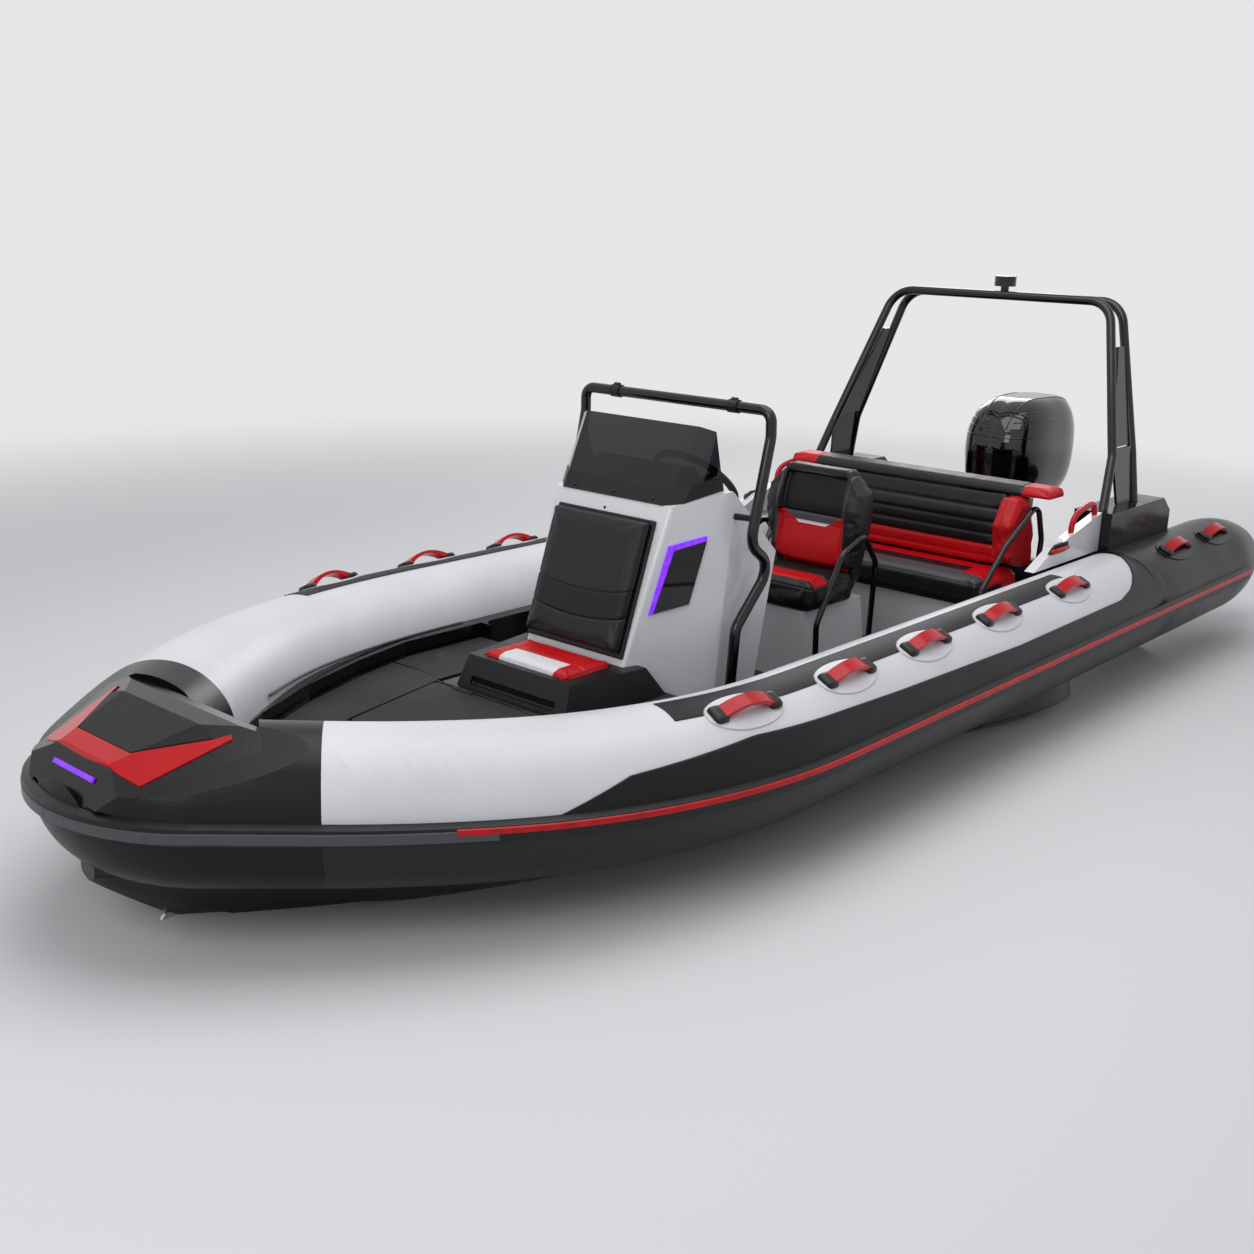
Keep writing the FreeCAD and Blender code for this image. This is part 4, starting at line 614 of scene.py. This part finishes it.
# Arch legs. Below the knees a plate closes the space between the two tubes of each leg,
# welded along both and coated with them.
PLATE_THICK = 0.012
PLATE = [(-1.872, 0.766, 0.995), (-2.085, 0.766, 0.995), (-2.088, 0.772, 0.940),
         (-2.090, 0.798, 0.737), (-1.905, 0.798, 0.737), (-1.872, 0.772, 0.940)]
plates = []
for side in (1, -1):
    verts = [Vector((x, side * (y - inward), z)) for inward in (0.0, PLATE_THICK) for x, y, z in PLATE]
    faces = [(0, 1, 2, 5), (5, 2, 3, 4), (6, 11, 8, 7), (11, 10, 9, 8)]
    faces += [(k, k + 6, (k + 1) % 6 + 6, (k + 1) % 6) for k in range(6)]
    plates.append((verts, faces))
arch_plates = new_piece("arch_plates", *gathered(plates), powder_black, smooth=False)

# Side panel handles. A red strap handle on top of each white panel, and a smaller one across an opening
# in its outer face, whose shaded inside is a black slab of painted shade.
def curved(points, steps=8):
    """A smooth line through points."""
    points = [Vector(p) for p in points]
    ends = [points[0] * 2 - points[1]] + points + [points[-1] * 2 - points[-2]]
    out = []
    for a, b, c, d in zip(ends, ends[1:], ends[2:], ends[3:]):
        for k in range(steps):
            t = k / steps
            rest = (2 * a - 5 * b + 4 * c - d) * t * t + (3 * b - a - 3 * c + d) * t ** 3
            out.append(0.5 * (2 * b + (c - a) * t + rest))
    return out + [points[-1]]


TOP_GRIP = curved([(-1.430, 0.800, 0.672), (-1.440, 0.800, 0.720), (-1.470, 0.800, 0.752),
                   (-1.540, 0.800, 0.772), (-1.610, 0.800, 0.780), (-1.645, 0.800, 0.768),
                   (-1.660, 0.800, 0.722)])
SIDE_GRIP = curved([(-1.205, 0.822, 0.624), (-1.225, 0.834, 0.632), (-1.290, 0.840, 0.634),
                    (-1.345, 0.832, 0.630), (-1.352, 0.822, 0.625)])
POCKET = [(-1.189, 0.623), (-1.215, 0.641), (-1.245, 0.653), (-1.300, 0.656), (-1.361, 0.652),
          (-1.368, 0.640), (-1.358, 0.622), (-1.343, 0.613), (-1.270, 0.612), (-1.200, 0.615)]
POCKET_Y = (0.8245, 0.815)
grips, opening_shades = [], []
for side in (1, -1):
    for run, radius in ((TOP_GRIP, 0.013), (SIDE_GRIP, 0.009)):
        grips.append(swept([(p.x, side * p.y, p.z) for p in run], radius))
    # Painted shade: a black slab fills each opening where its inside lies in shade.
    opening_shades.append(lofted([[Vector((x, side * y, z)) for x, z in POCKET] for y in POCKET_Y]))
panel_grips = new_piece("panel_grips", *gathered(grips), red_paint)
pocket_shade_slabs = new_piece("pocket_shade_slabs", *gathered(opening_shades), moulded_black, smooth=False)

# Deck trim. Dark joints between the foredeck's foam panels, and a thin grey line that runs beside each
# tube along the coaming's lip: a painted highlight of its edge.
PAD_JOINTS = ([(1.742, 0.219), (1.880, 0.187), (1.985, 0.158)],
              [(1.225, 0.338), (1.215, 0.450), (1.224, 0.612)],
              [(1.205, 0.520), (1.050, 0.562), (0.927, 0.601)])
PAD_JOINT_Z = 0.335
grooves = [swept([(x, side * y, PAD_JOINT_Z) for x, y in run], 0.004, 8)
           for side in (1, -1) for run in PAD_JOINTS]
pad_grooves = new_piece("pad_grooves", *gathered(grooves), rub_rubber)
# Painted highlight: the grey line stands for light caught on the coaming's edge.
COAMING_ANGLE, COAMING_LIFT = 170.5, 0.010
lip = [on_skin(x, COAMING_ANGLE, COAMING_LIFT) for x in spaced(0.80, 2.05)]
coaming_lip_highlight = new_piece("coaming_lip_highlight", *mirror_verts(*swept(lip, 0.005, 8)), grey_rubber)

# Screws. Black pan heads through the windscreen's band, one in the console below it.
BAND_SCREW_Y = (-0.193, 0.0, 0.190)
heads = [swept([(0.6925, y, 1.0115), (0.6960, y, 1.0135)], 0.0065, 10) for y in BAND_SCREW_Y]
heads.append(swept([(0.7140, -0.020, 0.9515), (0.7175, -0.020, 0.9528)], 0.005, 10))
screws = new_piece("screws", *gathered(heads), nylon)

# Towing eyes and propeller. Stainless steel, left bright with a fine brushed grain.
stainless, tree = material_named("brushed_stainless_steel")
place = located(tree)
scratch = clouds(tree, place, 300.0, 3.0)
surfaced(tree, {
    "Base Color": linear("#BDBDC0"), "Metallic": 1.0,
    "Roughness": ranged(tree, scratch, 0.3, 0.7, 0.18, 0.34)})
dress(["tow_eyes", "propeller"], stainless)

# Outboard. A gloss black painted cowling over the engine, with the leg and brackets in satin black
# paint. Fine raised joints follow the cowling's skin, found with rays.
cowl_black, tree = material_named("gloss_black_cowl_paint")
place = located(tree)
surfaced(tree, {
    "Base Color": linear("#050506"), "Roughness": 0.08, "Coat Weight": 0.3, "Coat Roughness": 0.03,
    "Normal": grain(tree, place, 0.04, 0.08, 0.001)})
dress(["cowl"], cowl_black)

cowl_mesh = nodes["cowl"].data
cowl_skin = BVHTree.FromPolygons([v.co for v in cowl_mesh.vertices],
                                 [tuple(f.vertices) for f in cowl_mesh.polygons])
COWL_X = -2.40                      # the seam is laid by rays toward an upright line here
ROUND_START, SIDE_START, TOP_START = 1.2, 0.6, 1.5
SEAM_Z, SEAM_RAKE = 0.952, 0.016
SIDE_RUNS = ([(-2.000, 0.985), (-2.130, 1.032), (-2.330, 1.066)],
             [(-2.040, 0.960), (-2.060, 0.978), (-2.180, 1.008), (-2.320, 1.030), (-2.450, 1.024)],
             [(-2.165, 0.978), (-2.250, 0.990), (-2.331, 1.000)])
RIDGE_X = [-2.02 - 0.025 * k for k in range(30)]
RIDGE_Y, RIDGE_SPREAD = 0.055, 0.10
SEAM_R, SIDE_R = 0.0035, 0.003


def laid(starts, aims):
    """Points where rays meet the cowling."""
    hits = [cowl_skin.ray_cast(Vector(a), Vector(b))[0] for a, b in zip(starts, aims)]
    return [hit for hit in hits if hit is not None]


turns = [2 * math.pi * k / 96 for k in range(97)]
round_ways = [Vector((math.cos(a), math.sin(a), 0.0)) for a in turns]
starts = [Vector((COWL_X, 0.0, SEAM_Z - SEAM_RAKE * way.x)) + way * ROUND_START for way in round_ways]
joints = [swept(laid(starts, [-way for way in round_ways]), SEAM_R, 8)]
for side in (1, -1):
    for points in SIDE_RUNS:
        run = curved([(x, side * SIDE_START, z) for x, z in points])
        joints.append(swept(laid(run, [(0, -side, 0)] * len(run)), SIDE_R, 8))
    ridge = [(x, side * (RIDGE_Y + RIDGE_SPREAD * (RIDGE_X[0] - x)), TOP_START) for x in RIDGE_X]
    joints.append(swept(laid(ridge, [(0, 0, -1)] * len(ridge)), SEAM_R, 8))
cowl_joints = new_piece("cowl_joints", *gathered(joints), cowl_black, body="engine")

satin_black, tree = material_named("satin_black_engine_paint")
place = located(tree)
surfaced(tree, {
    "Base Color": linear("#0C0C0E"), "Roughness": 0.34, "Specular IOR Level": 0.35,
    "Normal": grain(tree, place, 0.003, 0.2, 0.0006)})
dress(["clamp_bracket", "swivel_bracket", "outboard_leg"], satin_black)

cast_iron, tree = material_named("painted_cast_aluminium")
place = located(tree)
surfaced(tree, {
    "Base Color": linear("#3A3A3C"), "Roughness": 0.6, "Normal": grain(tree, place, 0.004, 0.5, 0.001)})
dress(["powerhead"], cast_iron)

# Upholstery. Foam cushions in marine vinyl, cut and sewn in black and red panels over moulded bases:
# leather-like grain, soft sheen, crowned faces that sink where the panels are seamed.
def vinyl_tree(name, tone_of):
    """Marine vinyl; the colour comes from where on the cushion a point lies."""
    material, tree = material_named(name)
    place = located(tree)
    pores = add(tree, "TexVoronoi", {"Vector": place, "Scale": 320.0}, feature="DISTANCE_TO_EDGE")
    leather = add(tree, "Bump", {
        "Height": ranged(tree, pores, 0.0, 0.25), "Strength": 0.22, "Distance": 0.0008})
    soft = clouds(tree, place, 14.0, 3.0)
    puckered = add(tree, "Bump", {
        "Height": soft, "Strength": 0.25, "Distance": 0.006, "Normal": leather})
    surfaced(tree, {
        "Base Color": tone_of(tree, place), "Roughness": ranged(tree, soft, 0.3, 0.7, 0.36, 0.48),
        "Specular IOR Level": 0.32, "Normal": puckered})
    return material


BLACK_VINYL, DARK_VINYL, GREY_VINYL = "#0F0F11", "#1B1B1E", "#4A4A50"
RED_VINYL, WHITE_VINYL = "#C00410", "#D9D9DB"


def over(tree, value, limit):
    """1 where a value is above a limit."""
    return add(tree, "Math", {0: value, 1: limit}, operation="GREATER_THAN")


def unsigned(tree, value):
    """A value without its sign, which makes both sides of the boat alike."""
    return add(tree, "Math", {0: value}, operation="ABSOLUTE")


def between(tree, value, low, high):
    """1 where a value lies between two limits."""
    return both(tree, over(tree, value, low), below(tree, value, high))


def painted(tree, under, mask, code):
    """A panel of another colour over the rest."""
    return add(tree, "MixRGB", {0: mask, 1: under, 2: linear(code)})


def plain(code):
    """One vinyl colour with the faint change from hide to hide."""
    def tone(tree, place):
        cloud = clouds(tree, place, 5.0, 2.0)
        darker = [c * 0.82 for c in linear(code)[:3]] + [1.0]
        return add(tree, "MixRGB", {0: cloud, 1: darker, 2: linear(code)})
    return tone


CLOTH_FRAMES = 20
CLOTH_PRESSURE = 4.0
HELD_DEPTH = 0.004     # a cushion is held where it lies on its base, up to this height


def upholster(node, material, voxel, cap, seams, rests=None):
    """A cushion from its solid: remeshed, blown up as cloth, then drawn in along its seams."""
    mesh = nodes[node].data.copy()
    full_low, full_high = coordinates(mesh).min(0), coordinates(mesh).max(0)
    piece = bpy.data.objects.new(node + "_cover", mesh)
    bpy.context.scene.collection.objects.link(piece)
    remesh = piece.modifiers.new("remesh", "REMESH")
    remesh.mode = "VOXEL"
    remesh.voxel_size = voxel
    bake(piece)
    rest = coordinates(piece.data)
    held = rests(rest) if rests else rest[:, 2] < rest[:, 2].min() + HELD_DEPTH
    group = piece.vertex_groups.new(name="held")
    for i in np.nonzero(held)[0]:
        group.add([int(i)], 1.0, "REPLACE")
    cloth = piece.modifiers.new("cloth", "CLOTH")
    cloth.settings.use_pressure = True
    cloth.settings.uniform_pressure_force = CLOTH_PRESSURE
    cloth.settings.effector_weights.gravity = 0.0
    cloth.settings.vertex_group_mass = "held"
    cloth.settings.quality = 4
    cloth.point_cache.frame_start = 1
    cloth.point_cache.frame_end = CLOTH_FRAMES
    for step in range(1, CLOTH_FRAMES + 1):
        bpy.context.scene.frame_set(step)
    bake(piece)
    bpy.context.scene.frame_set(1)
    grown = coordinates(piece.data)
    move = grown - rest
    length = np.linalg.norm(move, axis=1, keepdims=True) + 1e-9
    grown = rest + move * np.minimum(1.0, cap / length)
    low, high = grown.min(0), grown.max(0)
    place_verts(piece.data, full_low + (grown - low) / (high - low) * (full_high - full_low))
    finer = piece.modifiers.new("finer", "SUBSURF")
    finer.levels = 1
    bake(piece)
    at = coordinates(piece.data)
    normals = np.zeros(len(at) * 3, np.float32)
    piece.data.vertices.foreach_get("normal", normals)
    normals = normals.reshape(-1, 3)
    drop = np.zeros(len(at))
    for distance, width, depth in seams:
        gap = distance(at[:, 0], at[:, 1], at[:, 2])
        drop += depth * np.exp(-(gap / width) ** 2)
    place_verts(piece.data, at - normals * drop[:, None])
    piece.data.materials.clear()
    piece.data.materials.append(material)
    for face in piece.data.polygons:
        face.use_smooth = True
    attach(piece, "root")
    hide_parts(node)
    return piece


def bake(piece):
    """Applies a piece's modifiers to its mesh."""
    graph = bpy.context.evaluated_depsgraph_get()
    done = bpy.data.meshes.new_from_object(piece.evaluated_get(graph))
    piece.modifiers.clear()
    piece.data = done


def coordinates(mesh):
    """A mesh's vertices as rows of x, y and z."""
    co = np.zeros(len(mesh.vertices) * 3, np.float32)
    mesh.vertices.foreach_get("co", co)
    return co.reshape(-1, 3).astype(float)


def place_verts(mesh, co):
    """Moves a mesh's vertices."""
    mesh.vertices.foreach_set("co", co.astype(np.float32).ravel())
    mesh.update()


# Bow seat backrest: one raked pad with a smoother black band sewn across its lower third.
# The band's edges sag toward the sides.
SAG = 0.45
BACKREST_BAND = (0.586, 0.680)
BACKREST_RAKE = 0.3459
BACKREST_FOOT = (0.9305, 0.33)
BACKREST_HELD = 0.022


def backrest_tone(tree, place):
    parts = add(tree, "SeparateXYZ", {0: place})
    sag = add(tree, "Math", {0: parts.outputs["Y"], 1: parts.outputs["Y"]}, operation="MULTIPLY")
    bent = add(tree, "Math", {0: sag, 1: -SAG, 2: parts.outputs["Z"]}, operation="MULTIPLY_ADD")
    return painted(tree, plain("#1E1E21")(tree, place), between(tree, bent, *BACKREST_BAND), "#0A0A0B")


def on_backrest_frame(co):
    """The points of the pad next to the frame behind it, which leans aft as it rises."""
    return co[:, 0] < BACKREST_FOOT[0] - (co[:, 2] - BACKREST_FOOT[1]) * BACKREST_RAKE + BACKREST_HELD


backrest_vinyl = vinyl_tree("black_marine_vinyl_backrest", backrest_tone)
backrest = upholster("console_backrest", backrest_vinyl, 0.007, 0.006, [
    (lambda x, y, z: z - SAG * y ** 2 - BACKREST_BAND[1], 0.004, 0.0035),
    (lambda x, y, z: z - SAG * y ** 2 - BACKREST_BAND[0], 0.004, 0.0035)],
    rests=on_backrest_frame)


# Bow seat cushion: a red tray of four sloping panels round a white one, let into the black base.
TRAY_X = (1.045, 1.150)
TRAY_HALF = 0.135


def bow_cushion_tone(tree, place):
    parts = add(tree, "SeparateXYZ", {0: place})
    x, y = parts.outputs["X"], unsigned(tree, parts.outputs["Y"])
    white = both(tree, between(tree, x, *TRAY_X), below(tree, y, TRAY_HALF))
    return painted(tree, plain(RED_VINYL)(tree, place), white, WHITE_VINYL)


bow_vinyl = vinyl_tree("red_and_white_marine_vinyl", bow_cushion_tone)
bow_cushion = upholster("bow_seat_cushion", bow_vinyl, 0.006, 0.006, [
    (lambda x, y, z: x - TRAY_X[0], 0.004, 0.003),
    (lambda x, y, z: np.abs(y) - TRAY_HALF, 0.004, 0.003)])


# Helm seat: black cushion with a red stripe near its rear, the black left between the stripe and the
# backrest being painted shade of the gap under the backrest; a winged backrest with a black inset above
# and a red pad below. The backrest's panels are on its front, between the wings.
STRIPE_X = (-0.455, -0.345)
BACK_FRONT_X = -0.66
PANEL_HALF, INSET_HALF = 0.172, 0.150


def helm_cushion_tone(tree, place):
    parts = add(tree, "SeparateXYZ", {0: place})
    top = over(tree, parts.outputs["Z"], 0.498)
    # Painted shade: the stripe stops short of the backrest, so the black behind it stands for the
    # shaded gap there.
    stripe = both(tree, between(tree, parts.outputs["X"], *STRIPE_X), top)
    return painted(tree, plain(BLACK_VINYL)(tree, place), stripe, RED_VINYL)


helm_vinyl = vinyl_tree("black_marine_vinyl_helm_cushion", helm_cushion_tone)
helm_cushion = upholster("helm_seat_cushion", helm_vinyl, 0.008, 0.012, [
    (lambda x, y, z: x - STRIPE_X[1], 0.004, 0.003),
    (lambda x, y, z: x - STRIPE_X[0], 0.006, 0.005),
    (lambda x, y, z: z - 0.500, 0.004, 0.003),
    (lambda x, y, z: np.abs(y) - 0.150 + (x + 0.30) * 0.2, 0.004, 0.002)])


def helm_back_tone(tree, place):
    parts = add(tree, "SeparateXYZ", {0: place})
    x, z = parts.outputs["X"], parts.outputs["Z"]
    y = unsigned(tree, parts.outputs["Y"])
    front = over(tree, x, BACK_FRONT_X)
    panel = both(tree, front, below(tree, y, PANEL_HALF))
    inset = both(tree, front, below(tree, y, INSET_HALF))
    edge = between(tree, y, PANEL_HALF, PANEL_HALF + 0.005)
    piping = both(tree, front, both(tree, edge, over(tree, z, 0.60)))
    upper = both(tree, inset, over(tree, z, 0.752))
    tone = painted(tree, plain("#202023")(tree, place), upper, "#0B0B0C")
    tone = painted(tree, tone, both(tree, panel, between(tree, z, 0.42, 0.752)), RED_VINYL)
    tone = painted(tree, tone, piping, "#55555B")
    slant = add(tree, "Math", {0: z, 1: 1.6, 2: -1.06}, operation="MULTIPLY_ADD")
    inner = both(tree, front, below(tree, y, slant))
    tone = painted(tree, tone, both(tree, inner, between(tree, z, 0.718, 0.754)), GREY_VINYL)
    return painted(tree, tone, both(tree, inner, between(tree, z, 0.706, 0.719)), WHITE_VINYL)


def on_front(gap, where):
    """A seam of the backrest's front, kept to a part of it."""
    return lambda x, y, z: np.where((x > BACK_FRONT_X) & where(np.abs(y), z), gap(np.abs(y), z), 1.0)


helm_back_vinyl = vinyl_tree("black_and_red_marine_vinyl", helm_back_tone)
helm_back = upholster("helm_seat_back", helm_back_vinyl, 0.008, 0.010, [
    (on_front(lambda y, z: y - 0.170, lambda y, z: True), 0.005, 0.005),
    (on_front(lambda y, z: y - INSET_HALF, lambda y, z: z > 0.75), 0.005, 0.004),
    (on_front(lambda y, z: z - 0.753, lambda y, z: y < 0.17), 0.005, 0.005),
    (on_front(lambda y, z: z - 0.712, lambda y, z: y < INSET_HALF), 0.004, 0.002),
    (on_front(lambda y, z: z - 0.615, lambda y, z: y < INSET_HALF), 0.070, -0.010)],
    rests=lambda co: co[:, 2] < 0.41)


# Stern bench: a long cushion in strips of red, black and grey with a slanting red corner at each end,
# a black back with sewn channels over a red foot, red bolsters that wrap its ends and a dark roll with
# red ends along the top.
REAR_STRIP_X = (-1.60, -1.315)
LIP_X = (-1.235, -1.0)
CORNER_X, CORNER_SLANT = -1.335, 0.30
CHANNEL_Z = (0.735, 0.672, 0.618)
RED_FOOT_Z = 0.567
BACK_MIDDLE_X = -1.44
ROLL_END_Y = 0.556


def bench_cushion_tone(tree, place):
    parts = add(tree, "SeparateXYZ", {0: place})
    x, z = parts.outputs["X"], parts.outputs["Z"]
    y = unsigned(tree, parts.outputs["Y"])
    lip = both(tree, between(tree, x, *LIP_X), over(tree, z, 0.452))
    tone = painted(tree, plain(BLACK_VINYL)(tree, place), between(tree, x, *REAR_STRIP_X), RED_VINYL)
    tone = painted(tree, tone, lip, GREY_VINYL)
    reach = add(tree, "Math", {0: y, 1: CORNER_SLANT, 2: CORNER_X}, operation="MULTIPLY_ADD")
    corner = both(tree, over(tree, y, 0.405), below(tree, x, reach))
    return painted(tree, tone, both(tree, corner, over(tree, z, 0.42)), RED_VINYL)


def corner_seam(x, y, z):
    """How far a point on the cushion's top lies from the slanting seam of a corner."""
    on_corner = (z > 0.44) & (np.abs(y) >= 0.40)
    return np.where(on_corner, x - CORNER_SLANT * np.abs(y) - CORNER_X, 1.0)


bench_vinyl = vinyl_tree("striped_marine_vinyl", bench_cushion_tone)
bench_cushion = upholster("bench_cushion", bench_vinyl, 0.012, 0.016, [
    (lambda x, y, z: x + 1.275, 0.030, 0.006),
    (lambda x, y, z: x - LIP_X[0], 0.006, 0.004),
    (corner_seam, 0.006, 0.004),
    (lambda x, y, z: z - 0.450, 0.006, 0.004)])


def bench_back_tone(tree, place):
    parts = add(tree, "SeparateXYZ", {0: place})
    low = below(tree, parts.outputs["Z"], RED_FOOT_Z)
    front = over(tree, parts.outputs["X"], BACK_MIDDLE_X)
    return painted(tree, plain("#111113")(tree, place), both(tree, low, front), RED_VINYL)


bench_black = vinyl_tree("black_and_red_marine_vinyl_bench", bench_back_tone)
bench_back = upholster("bench_back", bench_black, 0.012, 0.014, [
    *[(lambda x, y, z, height=height: z - height, 0.008, 0.007) for height in CHANNEL_Z],
    (lambda x, y, z: z - RED_FOOT_Z, 0.008, 0.008),
    (lambda x, y, z: z - 0.515, 0.005, 0.004)])

bench_red = vinyl_tree("red_marine_vinyl", plain(RED_VINYL))
bench_ends = upholster("bench_ends", bench_red, 0.008, 0.010, [
    (lambda x, y, z: np.abs(y) - 0.520, 0.005, 0.004),
    (lambda x, y, z: x + 1.345 + (z - 0.6) * 0.25, 0.006, 0.004)])


def roll_tone(tree, place):
    parts = add(tree, "SeparateXYZ", {0: place})
    y = unsigned(tree, parts.outputs["Y"])
    return painted(tree, plain(DARK_VINYL)(tree, place), over(tree, y, ROLL_END_Y), RED_VINYL)


roll_vinyl = vinyl_tree("dark_and_red_marine_vinyl", roll_tone)
bench_roll = upholster("bench_roll", roll_vinyl, 0.009, 0.008, [
    (lambda x, y, z: np.abs(y) - ROLL_END_Y, 0.005, 0.004)])
